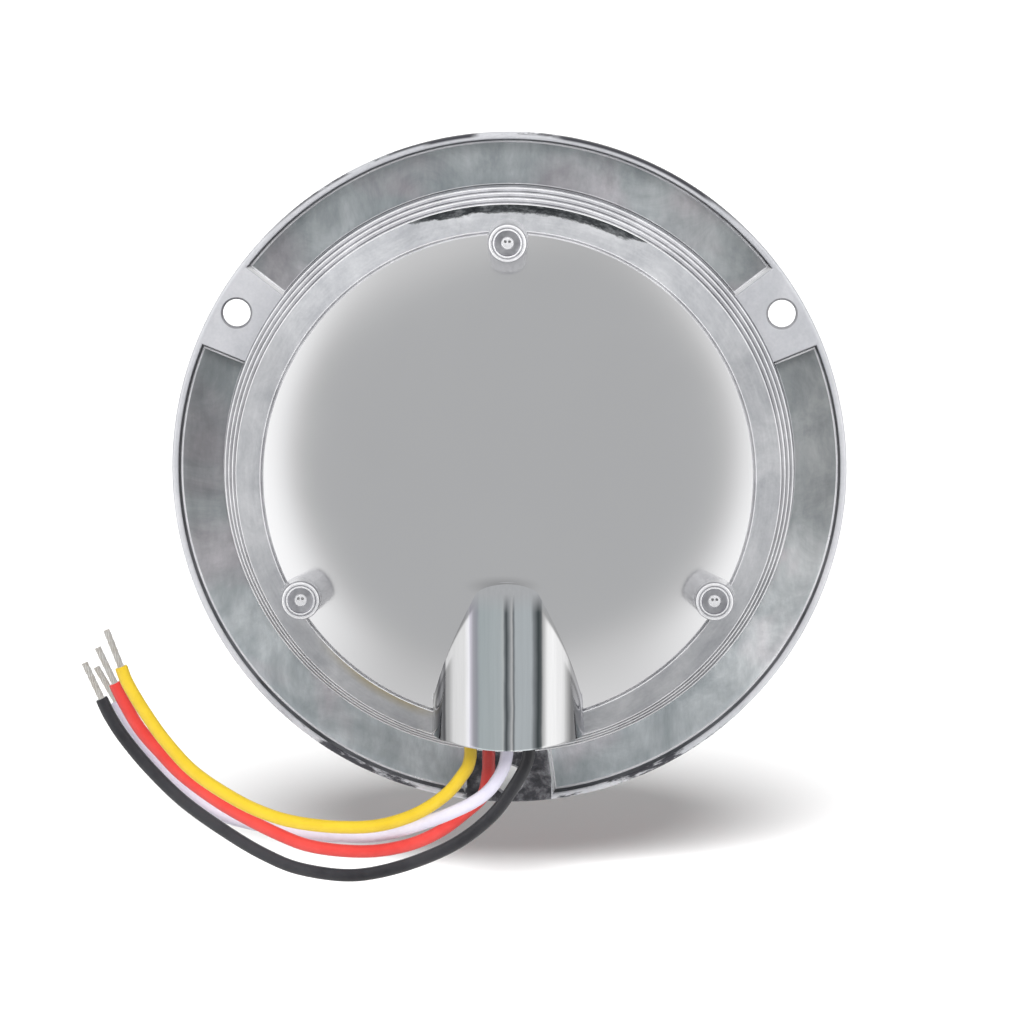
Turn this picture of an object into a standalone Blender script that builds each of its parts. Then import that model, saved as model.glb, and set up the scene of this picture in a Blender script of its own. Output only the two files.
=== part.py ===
"""Round flange-mount trailer tail light.

Axes: +Y is the lamp's axis and points out of its back, +Z is up, the lenses face -Y. The origin
is the centre of the housing's flat back. Sizes are in mm. Heights (names ending in _H) are measured
along +Y from the seat, the plane of the flange's three pads, so a height h is at y = h - BACK_H.
Points are (x, height, z), places on the lamp's face are (x, z) and profiles are (radius, height).
"""

import math

import bmesh
import bpy
from mathutils import Matrix, Vector

for old_object in list(bpy.data.objects):
    bpy.data.objects.remove(old_object)

MM = 0.001
GAP = 0.3  # clearance between neighbouring pieces
SHARP_ANGLE = math.radians(35)  # edges bent more than this are shaded sharp

# ---- driving dimensions, mm ----
FLANGE_R = 70.0
SEAT_H = 0.0
BACK_H = 26.7  # flat back above the seat
BEZEL_H = -8.0  # front lip of the flange

BOSS_CIRCLE_R = 48.9
BOSS_DEG = (90.0, 210.0, 330.0)

LENS_R = 56.4
LENS_BACK_H = -1.1
LENS_OPENING_R = 20.6  # the hole in the outer lens, which takes the centre lens
LENS_STEP_R = 18.6  # the narrower hole behind it
LENS_STEP_H = -13.5
COUNTERBORE_FLOOR_H = -11.6
SCREW_HEAD_BACK_H = -13.0

REFLECTOR_R = 52.8
REFLECTOR_FRONT_H = -5.0
REFLECTOR_BACK_H = 0.8
COLLAR_FRONT_H = -11.2  # the ring standing forward of the reflector

BOARD_R = 53.0
BOARD_FRONT_H = REFLECTOR_BACK_H + GAP
BOARD_BACK_H = 2.7
BEHIND_BOARD_H = BOARD_BACK_H + GAP  # where things behind the board begin

TUNNEL_AXIS_H = 11.15
TUNNEL_IN_R = 13.3
TUNNEL_FLOOR_H = 11.62  # flat front side of the tunnel's bore


# ---- places and profiles ----
def polar(radius, deg):
    """A place on the lamp's face; seen from behind, +X is to the left and 0 degrees to the right."""
    angle = math.radians(deg)
    return -radius * math.cos(angle), radius * math.sin(angle)


BOSS_PLACES = [polar(BOSS_CIRCLE_R, deg) for deg in BOSS_DEG]


def rod(radius, low, high):
    """The profile of a plain cylinder."""
    return [(0, low), (radius, low), (radius, high), (0, high)]


def half_round(radius, floor, floor_turn, z):
    """Outline of the tunnel's bore: an arc round the tunnel's axis, closed by a flat floor.

    floor_turn is the angle, in radians, that sets how far the floor stops short of the radius.
    """
    outline = [(radius * math.cos(floor_turn), floor, z)]
    for i in range(1, 18):
        angle = math.radians(10.0 * i)
        outline.append((radius * math.cos(angle), TUNNEL_AXIS_H + radius * math.sin(angle), z))
    outline.append((-radius * math.cos(floor_turn), floor, z))
    return outline


# ---- solids: each function takes mm and returns a mesh in metres ----
def finish_bmesh(bm):
    bmesh.ops.remove_doubles(bm, verts=bm.verts, dist=1e-7)
    bmesh.ops.recalc_face_normals(bm, faces=bm.faces)
    bmesh.ops.scale(bm, vec=(MM, MM, MM), verts=bm.verts)
    mesh = bpy.data.meshes.new("solid")
    bm.to_mesh(mesh)
    bm.free()
    return mesh


def lathe(profile, steps, place=(0.0, 0.0), turn=0.0):
    """Spin a profile round an axis along +Y through a place, its facets turned by some radians."""
    bm = bmesh.new()
    verts = [bm.verts.new((radius, height, 0.0)) for radius, height in profile]
    edges = [bm.edges.new(pair) for pair in zip(verts, verts[1:])]
    if profile[0][0] > 0 or profile[-1][0] > 0:
        edges.append(bm.edges.new((verts[-1], verts[0])))
    bmesh.ops.spin(
        bm,
        geom=verts + edges,
        cent=(0, 0, 0),
        axis=(0, 1, 0),
        angle=2 * math.pi,
        steps=steps,
        use_duplicate=False,
    )
    bmesh.ops.remove_doubles(bm, verts=bm.verts, dist=2e-3)
    bmesh.ops.rotate(bm, cent=(0, 0, 0), matrix=Matrix.Rotation(turn, 3, "Y"), verts=bm.verts)
    bmesh.ops.translate(bm, vec=(place[0], 0, place[1]), verts=bm.verts)
    return finish_bmesh(bm)


def lathes(places, profile, steps, turn):
    return [lathe(profile, steps, place, turn) for place in places]


def prism(outline, direction):
    """Extrude a closed outline of points along a direction."""
    bm = bmesh.new()
    face = bm.faces.new([bm.verts.new(point) for point in outline])
    grown = bmesh.ops.extrude_face_region(bm, geom=[face])["geom"]
    moved = [item for item in grown if isinstance(item, bmesh.types.BMVert)]
    bmesh.ops.translate(bm, vec=direction, verts=moved)
    return finish_bmesh(bm)


def box(low, high):
    """A box between two opposite corners."""
    (x0, y0, z0), (x1, y1, z1) = low, high
    return prism([(x0, y0, z0), (x1, y0, z0), (x1, y0, z1), (x0, y0, z1)], (0, y1 - y0, 0))


# ---- objects ----
def shade(mesh):
    """Shade round faces smooth and keep the corners sharp."""
    mesh.shade_smooth()
    mesh.set_sharp_from_angle(angle=SHARP_ANGLE)


def add(name, mesh, mat=None):
    mesh.name = name
    ob = bpy.data.objects.new(name, mesh)
    bpy.context.scene.collection.objects.link(ob)
    if mat is not None:
        mesh.materials.append(mat)
    shade(mesh)
    return ob


def move(ob, place, height=0.0):
    ob.location = (place[0] * MM, height * MM, place[1] * MM)


def boolean(ob, operation, meshes):
    """Join or cut with solids, one after another, keeping the result as plain mesh."""
    for mesh in meshes:
        tool = bpy.data.objects.new("tool", mesh)
        bpy.context.scene.collection.objects.link(tool)
        mod = ob.modifiers.new("cut", "BOOLEAN")
        mod.solver = "EXACT"
        mod.operation = operation
        mod.object = tool
        bpy.context.view_layer.update()
        depsgraph = bpy.context.evaluated_depsgraph_get()
        result = bpy.data.meshes.new_from_object(ob.evaluated_get(depsgraph))
        ob.modifiers.clear()
        before = ob.data
        ob.data = result
        bpy.data.meshes.remove(before)
        bpy.data.objects.remove(tool)
        bpy.data.meshes.remove(mesh)


def tidy(ob, mat):
    """Merge the points a Boolean left on top of each other, then set the material and shading."""
    bm = bmesh.new()
    bm.from_mesh(ob.data)
    bmesh.ops.remove_doubles(bm, verts=bm.verts, dist=1e-6)
    bmesh.ops.dissolve_degenerate(bm, edges=bm.edges, dist=1e-6)
    bm.to_mesh(ob.data)
    bm.free()
    ob.data.materials.clear()
    ob.data.materials.append(mat)
    shade(ob.data)


# ---- materials ----
def material(name, colour, roughness, metallic=0.0, alpha=1.0):
    mat = bpy.data.materials.new(name)
    mat.use_nodes = True
    inputs = mat.node_tree.nodes["Principled BSDF"].inputs
    inputs["Base Color"].default_value = (*colour, 1.0)
    inputs["Roughness"].default_value = roughness
    inputs["Metallic"].default_value = metallic
    inputs["Alpha"].default_value = alpha
    return mat


CAST = material("housing_metal", colour=(0.66, 0.67, 0.69), roughness=0.22, metallic=1.0)
RED_PLASTIC = material("lens_red", colour=(0.62, 0.02, 0.02), roughness=0.08, alpha=0.85)
CLEAR_PLASTIC = material("lens_clear", colour=(0.9, 0.92, 0.94), roughness=0.05, alpha=0.35)
RUBBER = material("seal_rubber", colour=(0.03, 0.03, 0.03), roughness=0.7)
CHROME = material("reflector_chrome", colour=(0.85, 0.86, 0.88), roughness=0.08, metallic=1.0)
BOARD_GREEN = material("board_green", colour=(0.02, 0.16, 0.07), roughness=0.45)
LED_RED = material("led_red", colour=(0.75, 0.08, 0.06), roughness=0.15)
LED_WHITE = material("led_white", colour=(0.92, 0.88, 0.55), roughness=0.2)
REGULATOR_BLACK = material("regulator_black", colour=(0.03, 0.03, 0.035), roughness=0.5)
CAPACITOR_CAN = material("capacitor_can", colour=(0.05, 0.06, 0.14), roughness=0.35)
RESISTOR_TAN = material("resistor_tan", colour=(0.62, 0.46, 0.28), roughness=0.5)
DIODE_BLACK = material("diode_black", colour=(0.04, 0.04, 0.045), roughness=0.4)
STEEL = material("screw_steel", colour=(0.62, 0.62, 0.64), roughness=0.28, metallic=1.0)
TINNED = material("tinned_copper", colour=(0.78, 0.72, 0.64), roughness=0.35, metallic=1.0)
INSULATION = {
    "yellow": material("pvc_yellow", colour=(0.88, 0.66, 0.03), roughness=0.35),
    "white": material("pvc_white", colour=(0.78, 0.76, 0.82), roughness=0.38),
    "red": material("pvc_red", colour=(0.84, 0.06, 0.05), roughness=0.35),
    "black": material("pvc_black", colour=(0.025, 0.025, 0.03), roughness=0.35),
}

# ---- housing ----
WALL = 2.4
CUP_R = 56.2
CUP_IN_R = 53.6
RECESS_R = 56.8
LEDGE_H = 0.5  # back of the recess that takes the gasket
CAVITY_TURN = 0.021

DOME_FLAT_R = 10.0
DOME_EDGE_R = 50.2
DOME_DROP = 12.0
DOME_OUTER_RADII = (DOME_EDGE_R, 45.5, 40.0, 33.5, 26.5, 19.0, DOME_FLAT_R)
DOME_INNER_RADII = (43.0, 36.5, 30.0, 22.0, 9.0)

# (radius, height) from the front centre round the flange and up the cup to the dome's edge
FLANGE_AND_CUP = [
    (0.0, BEZEL_H), (58.6, BEZEL_H), (60.2, -7.6), (64.0, -6.5), (67.6, -5.3), (69.3, -4.5),
    (FLANGE_R, -3.3), (FLANGE_R, -0.8), (69.7, -0.2), (69.2, SEAT_H), (58.9, SEAT_H),
    (58.9, 3.0), (58.0, 3.0), (58.0, 5.6), (57.1, 5.6), (57.1, 8.2), (CUP_R, 8.2),
    (CUP_R, 10.4), (55.6, 11.0), (50.9, 14.4), (50.65, 14.1), (50.45, 14.1),
]

PAD_DEG = (30.0, 150.0, 270.0)
PAD_PITCH_DEG = 120.0
PAD_HALF_DEG = 7.8  # the pads' sides run out from the axis
POCKET_IN_R = 59.2
POCKET_OUT_R = 68.6
POCKET_DEPTH = 2.5
POCKET_STEPS = 18
BOLT_CIRCLE_R = 65.1
BOLT_HOLE_R = 2.85

TUNNEL_R = 15.5
TUNNEL_START_Z = -21.5
TUNNEL_LENGTH = 40.0
TUNNEL_TRIM_R = 55.9
BORE_START_Z = -19.63
BORE_LENGTH = 45.0

BOSS_TOP_H = 21.6
BOSS_PROFILE = [
    (0, 11.0), (4.5, 11.0), (4.4, 13.0), (3.9, 21.1), (3.4, BOSS_TOP_H), (2.8, BOSS_TOP_H),
    (2.5, 21.0), (1.3, 21.0), (0.9, 21.4), (0, 21.4),
]
COLUMN_PROFILE = [(0, BEHIND_BOARD_H), (4.2, BEHIND_BOARD_H), (3.4, 15.7), (0, 15.7)]
BOSS_HOLE_R = 2.0
BOSS_HOLE_TOP_H = 18.4
BOSS_HOLE_PROFILE = [
    (0, 0), (BOSS_HOLE_R, 0), (BOSS_HOLE_R, BOSS_HOLE_TOP_H), (0, BOSS_HOLE_TOP_H + 0.9),
]


def dome_height(radius):
    """Height of the dome's outer surface at a radius."""
    if radius <= DOME_FLAT_R:
        return BACK_H
    return BACK_H - DOME_DROP * ((radius - DOME_FLAT_R) / (DOME_EDGE_R - DOME_FLAT_R)) ** 2


def tunnel_shell():
    """A solid round bar running down (-Z) from near the centre, trimmed to the cup's wall."""
    outline = []
    for i in range(40):
        angle = math.radians(9.0 * i)
        x = TUNNEL_R * math.cos(angle)
        outline.append((x, TUNNEL_AXIS_H + TUNNEL_R * math.sin(angle), TUNNEL_START_Z))
    shell = add("shell", prism(outline, (0, 0, -TUNNEL_LENGTH)))
    boolean(shell, "INTERSECT", [lathe(rod(TUNNEL_TRIM_R, -10, 40), steps=60)])
    mesh = shell.data
    bpy.data.objects.remove(shell)
    return mesh


def cavity():
    profile = [
        (0, -20.0), (RECESS_R, -20.0), (RECESS_R, LEDGE_H), (CUP_IN_R, LEDGE_H),
        (CUP_IN_R, 9.0), (48.8, 12.3),
    ]
    profile += [(radius, dome_height(radius) - WALL) for radius in DOME_INNER_RADII]
    profile += [(0, BACK_H - WALL)]
    return lathe(profile, steps=60, turn=CAVITY_TURN)


def pocket(pad_deg):
    """The shallow pocket in the flange's back between one pad and the next."""
    span = PAD_PITCH_DEG - 2 * PAD_HALF_DEG
    angles = [pad_deg + PAD_HALF_DEG + span * j / POCKET_STEPS for j in range(POCKET_STEPS + 1)]
    rim = [polar(POCKET_OUT_R, deg) for deg in angles]
    rim += [polar(POCKET_IN_R, deg) for deg in reversed(angles)]
    return prism([(x, -POCKET_DEPTH, z) for x, z in rim], (0, POCKET_DEPTH + 1.0, 0))


def build_housing():
    outer = FLANGE_AND_CUP + [(radius, dome_height(radius)) for radius in DOME_OUTER_RADII]
    outer += [(0.0, BACK_H)]
    ob = add("housing", lathe(outer, steps=60))
    bosses = lathes(BOSS_PLACES, BOSS_PROFILE, steps=16, turn=0.07)
    boolean(ob, "UNION", [tunnel_shell()] + bosses)

    bore_outline = half_round(TUNNEL_IN_R, TUNNEL_FLOOR_H, floor_turn=0.03, z=BORE_START_Z)
    boolean(ob, "DIFFERENCE", [cavity(), prism(bore_outline, (0, 0, -BORE_LENGTH))])
    # The columns stand inside the cavity, so they are joined after it is cut.
    boolean(ob, "UNION", lathes(BOSS_PLACES, COLUMN_PROFILE, steps=16, turn=0.14))

    cuts = lathes(BOSS_PLACES, BOSS_HOLE_PROFILE, steps=12, turn=0.05)
    bolt_places = [polar(BOLT_CIRCLE_R, deg) for deg in PAD_DEG]
    cuts += lathes(bolt_places, rod(BOLT_HOLE_R, -12, 4), steps=20, turn=0.05)
    cuts += [pocket(deg) for deg in PAD_DEG]
    boolean(ob, "DIFFERENCE", cuts)
    tidy(ob, CAST)


# ---- lenses and seal ----
OUTER_LENS_PROFILE = [
    (LENS_R, LENS_BACK_H), (LENS_R, -11.4), (55.7, -13.1), (54.0, -14.2), (50.0, -14.9),
    (40.0, -15.5), (30.0, -15.9), (21.0, -16.1), (LENS_OPENING_R, -15.8),
    (LENS_OPENING_R, LENS_STEP_H), (LENS_STEP_R, LENS_STEP_H), (LENS_STEP_R, -12.6),
    (30.0, -13.2), (40.0, -12.9), (48.0, -12.4), (51.6, -11.8), (53.4, -9.8),
    (53.4, LENS_BACK_H),
]
CENTRE_LENS_R = LENS_OPENING_R - GAP
CENTRE_LENS_STEP_R = LENS_STEP_R - GAP
CENTRE_LENS_STEP_H = LENS_STEP_H - GAP
CENTRE_LENS_BACK_H = COLLAR_FRONT_H - GAP
CENTRE_LENS_PROFILE = [
    (0, -17.1), (8.0, -17.0), (15.0, -16.7), (19.2, -16.3), (CENTRE_LENS_R, -15.6),
    (CENTRE_LENS_R, CENTRE_LENS_STEP_H), (CENTRE_LENS_STEP_R, CENTRE_LENS_STEP_H),
    (CENTRE_LENS_STEP_R, CENTRE_LENS_BACK_H), (0, CENTRE_LENS_BACK_H),
]
LENS_POST_PROFILE = rod(5.2, -13.8, REFLECTOR_FRONT_H - GAP)
SCREW_WAY_PROFILE = [
    (0, -20), (3.9, -20), (3.9, COUNTERBORE_FLOOR_H), (2.1, COUNTERBORE_FLOOR_H), (2.1, -2), (0, -2),
]
GASKET_IN_R = 54.0
GASKET_FRONT_H = LENS_BACK_H + GAP
GASKET_BACK_H = LEDGE_H - GAP
GASKET_PROFILE = [
    (GASKET_IN_R, GASKET_FRONT_H), (LENS_R, GASKET_FRONT_H),
    (LENS_R, GASKET_BACK_H), (GASKET_IN_R, GASKET_BACK_H),
]


def build_outer_lens():
    ob = add("lens_outer", lathe(OUTER_LENS_PROFILE, steps=48))
    boolean(ob, "UNION", lathes(BOSS_PLACES, LENS_POST_PROFILE, steps=16, turn=0.03))
    boolean(ob, "DIFFERENCE", lathes(BOSS_PLACES, SCREW_WAY_PROFILE, steps=14, turn=0.03))
    tidy(ob, RED_PLASTIC)


def build_centre_lens():
    add("lens_center", lathe(CENTRE_LENS_PROFILE, steps=36), CLEAR_PLASTIC)


def build_gasket():
    add("lens_gasket", lathe(GASKET_PROFILE, steps=48), RUBBER)


# ---- reflector, board and LEDs ----
REFLECTOR_PROFILE = [
    (0, REFLECTOR_BACK_H), (REFLECTOR_R, REFLECTOR_BACK_H),
    (REFLECTOR_R, REFLECTOR_FRONT_H + 0.4), (REFLECTOR_R - 0.4, REFLECTOR_FRONT_H),
    (18.6, REFLECTOR_FRONT_H), (18.4, COLLAR_FRONT_H), (17.2, COLLAR_FRONT_H),
    (16.8, REFLECTOR_FRONT_H), (0, REFLECTOR_FRONT_H),
]
# colour: (number, ring radius, first angle, cup's mouth radius, cutter's front radius, material)
LED_RINGS = {
    "red": (12, 33.0, 15.0, 7.4, 7.8, LED_RED),
    "white": (4, 8.6, 45.0, 5.3, 5.4, LED_WHITE),
}
LED_HALF = 3.0  # half the side of the square package
LED_FRONT_H = -1.2
LED_DOME_PROFILE = [
    (0, LED_FRONT_H + 0.6), (2.5, LED_FRONT_H + 0.6), (2.4, LED_FRONT_H - 0.4),
    (1.7, LED_FRONT_H - 1.8), (0, LED_FRONT_H - 2.4),
]


def ring_angles(count, first_deg):
    return [first_deg + 360.0 * i / count for i in range(count)]


def build_reflector():
    """A disc with a flared cup round each LED and a way for each screw."""
    ob = add("reflector", lathe(REFLECTOR_PROFILE, steps=48))
    cuts = []
    for count, ring_r, first_deg, mouth_r, front_r, _ in LED_RINGS.values():
        cup_profile = [
            (0, REFLECTOR_BACK_H + 1), (4.7, REFLECTOR_BACK_H + 1), (4.8, REFLECTOR_BACK_H - 0.4),
            (mouth_r, REFLECTOR_FRONT_H), (front_r, REFLECTOR_FRONT_H - 0.8),
            (0, REFLECTOR_FRONT_H - 0.8),
        ]
        for deg in ring_angles(count, first_deg):
            cuts.append(lathe(cup_profile, 12, polar(ring_r, deg), math.radians(deg) + 0.02))
    cuts += lathes(BOSS_PLACES, rod(2.2, -8, 3), steps=12, turn=0.04)
    boolean(ob, "DIFFERENCE", cuts)
    tidy(ob, CHROME)


def build_board():
    ob = add("circuit_board", lathe(rod(BOARD_R, BOARD_FRONT_H, BOARD_BACK_H), steps=48))
    boolean(ob, "DIFFERENCE", lathes(BOSS_PLACES, rod(2.1, -1, 5), steps=12, turn=0.04))
    tidy(ob, BOARD_GREEN)


def build_led(name, place, deg, mat):
    """A square package with a domed emitter, facing the lens."""
    low = (-LED_HALF, LED_FRONT_H, -LED_HALF)
    high = (LED_HALF, BOARD_FRONT_H - GAP, LED_HALF)
    ob = add(name, box(low, high))
    boolean(ob, "UNION", [lathe(LED_DOME_PROFILE, steps=8, turn=0.1)])
    tidy(ob, mat)
    move(ob, place)
    ob.rotation_euler = (0, math.radians(deg), 0)


def build_leds():
    for colour, (count, ring_r, first_deg, _, _, mat) in LED_RINGS.items():
        for i, deg in enumerate(ring_angles(count, first_deg), start=1):
            build_led(f"led_{colour}_{i:02d}", polar(ring_r, deg), deg, mat)


# ---- parts behind the board ----
REGULATOR_PLACE = (-16, 12)
CAPACITOR_PLACE = (14, 14)
CAPACITOR_PROFILE = [
    (0, BEHIND_BOARD_H), (3.6, BEHIND_BOARD_H), (4.0, 3.4), (4.0, 12.4), (3.5, 13.0), (0, 13.0),
]
# (radius, distance along the part from its middle)
RESISTOR_PROFILE = [
    (0, -4.6), (0.35, -4.6), (0.35, -3.1), (1.1, -2.9), (1.35, -2.2), (1.05, -1.5),
    (1.05, 1.5), (1.35, 2.2), (1.1, 2.9), (0.35, 3.1), (0.35, 4.6), (0, 4.6),
]
DIODE_PROFILE = [
    (0, -5.0), (0.4, -5.0), (0.4, -2.6), (1.4, -2.5), (1.4, 2.5), (0.4, 2.6), (0.4, 5.0), (0, 5.0),
]
RESISTOR_PLACES = ((-12.0, -10.0), (-12.0, -16.0), (12.0, -10.0), (12.0, -16.0))
DIODE_PLACES = ((-6.0, -24.0), (6.0, -24.0))
AXIAL_PART_H = 5.0


def build_regulator():
    """A block with a flat tab above it, pierced by an eye."""
    ob = add("regulator", box((-5.0, BEHIND_BOARD_H, -4.5), (5.0, 7.4, 4.5)))
    boolean(ob, "UNION", [box((-5.0, 3.4, 4.0), (5.0, 4.7, 10.5))])
    boolean(ob, "DIFFERENCE", [lathe(rod(1.8, 0, 9), steps=12, place=(0, 7.6))])
    tidy(ob, REGULATOR_BLACK)
    move(ob, REGULATOR_PLACE)


def build_capacitor():
    ob = add("capacitor", lathe(CAPACITOR_PROFILE, steps=20), CAPACITOR_CAN)
    move(ob, CAPACITOR_PLACE)


def build_axial_parts(kind, profile, places, mat):
    """Resistors or diodes lying along X: a profile spun round the part's own length."""
    for i, place in enumerate(places, start=1):
        mesh = lathe(profile, steps=8)
        mesh.transform(Matrix.Rotation(math.radians(90), 4, "Z"))
        move(add(f"{kind}_{i}", mesh, mat), place, AXIAL_PART_H)


# ---- fasteners ----
SCREW_PROFILE = [
    (0, -15.0), (2.6, -15.0), (3.3, -14.3), (3.3, SCREW_HEAD_BACK_H), (1.7, SCREW_HEAD_BACK_H),
    (1.7, 17.0), (0.9, 18.0), (0, 18.0),
]
SLOT_HALF_W = 0.45
SLOT_HALF_L = 1.7
SLOT_FLOOR_H = -13.9
WASHER_IN_R = 2.05
WASHER_R = 3.4
WASHER_FRONT_H = SCREW_HEAD_BACK_H + GAP
WASHER_BACK_H = COUNTERBORE_FLOOR_H - GAP
WASHER_PROFILE = [
    (WASHER_IN_R, WASHER_FRONT_H), (WASHER_R, WASHER_FRONT_H),
    (WASHER_R, WASHER_BACK_H), (WASHER_IN_R, WASHER_BACK_H),
]


def build_screw(name, place):
    """A screw with a cross cut into its head."""
    ob = add(name, lathe(SCREW_PROFILE, steps=16))
    slots = [
        box((-half_x, -16, -half_z), (half_x, SLOT_FLOOR_H, half_z))
        for half_x, half_z in ((SLOT_HALF_W, SLOT_HALF_L), (SLOT_HALF_L, SLOT_HALF_W))
    ]
    boolean(ob, "DIFFERENCE", slots)
    tidy(ob, STEEL)
    move(ob, place)


def build_fasteners():
    """A screw and a washer at each boss; left and right are as seen from behind."""
    for side, place in zip(("top", "left", "right"), BOSS_PLACES):
        build_screw("screw_" + side, place)
        move(add("washer_" + side, lathe(WASHER_PROFILE, steps=16), RUBBER), place)


# ---- wiring ----
WIRE_R = 1.4
TIP_R = 0.75
TIP_LENGTH = 8.0
PLUG_TOP_Z = -46.0
PLUG_LENGTH = 7.4
PLUG_WAY_R = 1.75

# Each wire leaves the board, turns down the tunnel, passes the plug and sweeps out to the +X side.
# colour: ((x, height) at the plug, [(x, height, z) control points outside])
WIRES = {
    "yellow": ((7.8, 17.0), [
        (7.8, 17.3, -58.0), (9.8, 17.2, -62.0), (13.3, 17.0, -66.2), (19.3, 16.6, -70.4),
        (26.8, 16.0, -73.0), (34.8, 15.5, -73.5), (43.4, 15.2, -72.7), (50.0, 15.1, -71.0),
        (57.0, 15.0, -67.8), (65.3, 15.0, -62.3), (71.2, 15.0, -56.0), (75.6, 15.0, -49.8),
        (79.1, 15.0, -43.9), (80.6, 15.0, -40.2),
    ]),
    "red": ((3.9, 14.2), [
        (4.0, 14.0, -58.0), (4.1, 13.8, -62.2), (5.2, 13.6, -67.3), (9.1, 13.4, -71.4),
        (14.4, 13.3, -74.9), (21.2, 13.1, -77.6), (29.8, 12.9, -79.0), (40.0, 12.7, -78.2),
        (47.6, 12.5, -75.6), (58.2, 12.2, -70.1), (67.1, 12.0, -63.8), (72.3, 11.9, -58.5),
        (76.4, 11.8, -53.7), (79.7, 11.8, -48.1), (81.6, 11.8, -44.1),
    ]),
    "white": ((0.1, 18.6), [
        (0.4, 18.9, -58.0), (2.8, 18.8, -62.9), (6.4, 18.5, -66.6), (12.4, 17.2, -70.2),
        (19.2, 14.0, -73.4), (24.2, 10.9, -75.5), (29.8, 9.0, -76.7), (39.8, 7.7, -76.5),
        (50.6, 7.1, -74.2), (60.4, 6.9, -71.1), (69.3, 6.9, -64.7), (74.4, 7.0, -58.8),
        (78.6, 7.1, -52.5), (81.4, 7.2, -47.6),
    ]),
    "black": ((-4.2, 17.0), [
        (-4.1, 16.8, -58.0), (-0.9, 16.0, -64.4), (3.7, 14.8, -70.9), (10.7, 13.4, -76.6),
        (19.3, 12.2, -80.6), (27.8, 11.4, -83.6), (34.8, 10.9, -84.2), (43.4, 10.6, -82.9),
        (49.6, 10.4, -80.4), (56.7, 10.3, -75.1), (66.7, 10.2, -68.3), (74.0, 10.2, -61.6),
        (79.3, 10.2, -55.2), (82.4, 10.2, -50.4), (84.2, 10.2, -46.6),
    ]),
}


def catmull_rom(points, steps_per_span):
    """Points of a Catmull-Rom spline through control points, its ends carried on straight."""
    knots = [Vector(point) for point in points]
    knots = [2 * knots[0] - knots[1]] + knots + [2 * knots[-1] - knots[-2]]
    path = []
    for before, start, end, after in zip(knots, knots[1:], knots[2:], knots[3:]):
        for k in range(steps_per_span):
            t = k / steps_per_span
            linear = (end - before) * t
            square = (2 * before - 5 * start + 4 * end - after) * t**2
            cube = (3 * start - before - 3 * end + after) * t**3
            path.append(0.5 * (2 * start + linear + square + cube))
    path.append(knots[-2])
    return path


def tube(name, path, radius, mat):
    """A round solid along a path, as a bevelled curve with filled caps."""
    curve = bpy.data.curves.new(name, "CURVE")
    curve.dimensions = "3D"
    curve.bevel_mode = "ROUND"
    curve.bevel_depth = radius * MM
    curve.bevel_resolution = 2
    curve.use_fill_caps = True
    line = curve.splines.new("POLY")
    line.points.add(len(path) - 1)
    for point, (x, y, z) in zip(line.points, path):
        point.co = (x * MM, y * MM, z * MM, 1.0)
    line.use_smooth = True
    curve.materials.append(mat)
    bpy.context.scene.collection.objects.link(bpy.data.objects.new(name, curve))


def build_plug():
    """The rubber plug that closes the tunnel's mouth round the wires."""
    floor = TUNNEL_FLOOR_H + GAP
    outline = half_round(TUNNEL_IN_R - GAP, floor, floor_turn=0.055, z=PLUG_TOP_Z)
    ob = add("wire_grommet", prism(outline, (0, 0, -PLUG_LENGTH)))
    angles = [math.radians(30 * j) for j in range(12)]
    ways = []
    for (x, height), _ in WIRES.values():
        ring = [
            (x + PLUG_WAY_R * math.cos(angle), height + PLUG_WAY_R * math.sin(angle), -40.0)
            for angle in angles
        ]
        ways.append(prism(ring, (0, 0, -20.0)))
    boolean(ob, "DIFFERENCE", ways)
    tidy(ob, RUBBER)


def build_wire(colour):
    """An insulated wire and the bare tip at its outer end."""
    (x, height), outside = WIRES[colour]
    inside = [
        (x, 3.0, -33.0), (x, 8.0, -33.2), (x, height - 2.6, -35.4),
        (x, height - 0.3, -40.0), (x, height, -45.0), (x, height, -51.0),
    ]
    path = catmull_rom(inside + outside, steps_per_span=2)
    tube("wire_" + colour, path, WIRE_R, INSULATION[colour])
    end = path[-1]
    along = (end - path[-2]).normalized()
    tip = [end + along * (GAP + length) for length in (0.0, TIP_LENGTH / 2, TIP_LENGTH)]
    tube("tip_" + colour, tip, TIP_R, TINNED)


# ---- build ----
build_housing()
build_outer_lens()
build_centre_lens()
build_gasket()
build_reflector()
build_board()
build_leds()
build_regulator()
build_capacitor()
build_axial_parts("resistor", RESISTOR_PROFILE, RESISTOR_PLACES, RESISTOR_TAN)
build_axial_parts("diode", DIODE_PROFILE, DIODE_PLACES, DIODE_BLACK)
build_fasteners()
build_plug()
for wire_colour in WIRES:
    build_wire(wire_colour)

# Heights were used as y until here; this brings the flat back to y = 0.
for part in bpy.context.scene.collection.objects:
    part.location.y -= BACK_H * MM
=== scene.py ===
"""Looks of a round flange-mount trailer tail light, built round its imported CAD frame.

Lengths are in mm in the lamp's own terms: x, a height h above the flange's seat along the
lamp's axis, and z. The frame is in metres, with +Y out of the lamp's back, +Z up and its
origin at the centre of the housing's flat back.
"""

import math

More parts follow.
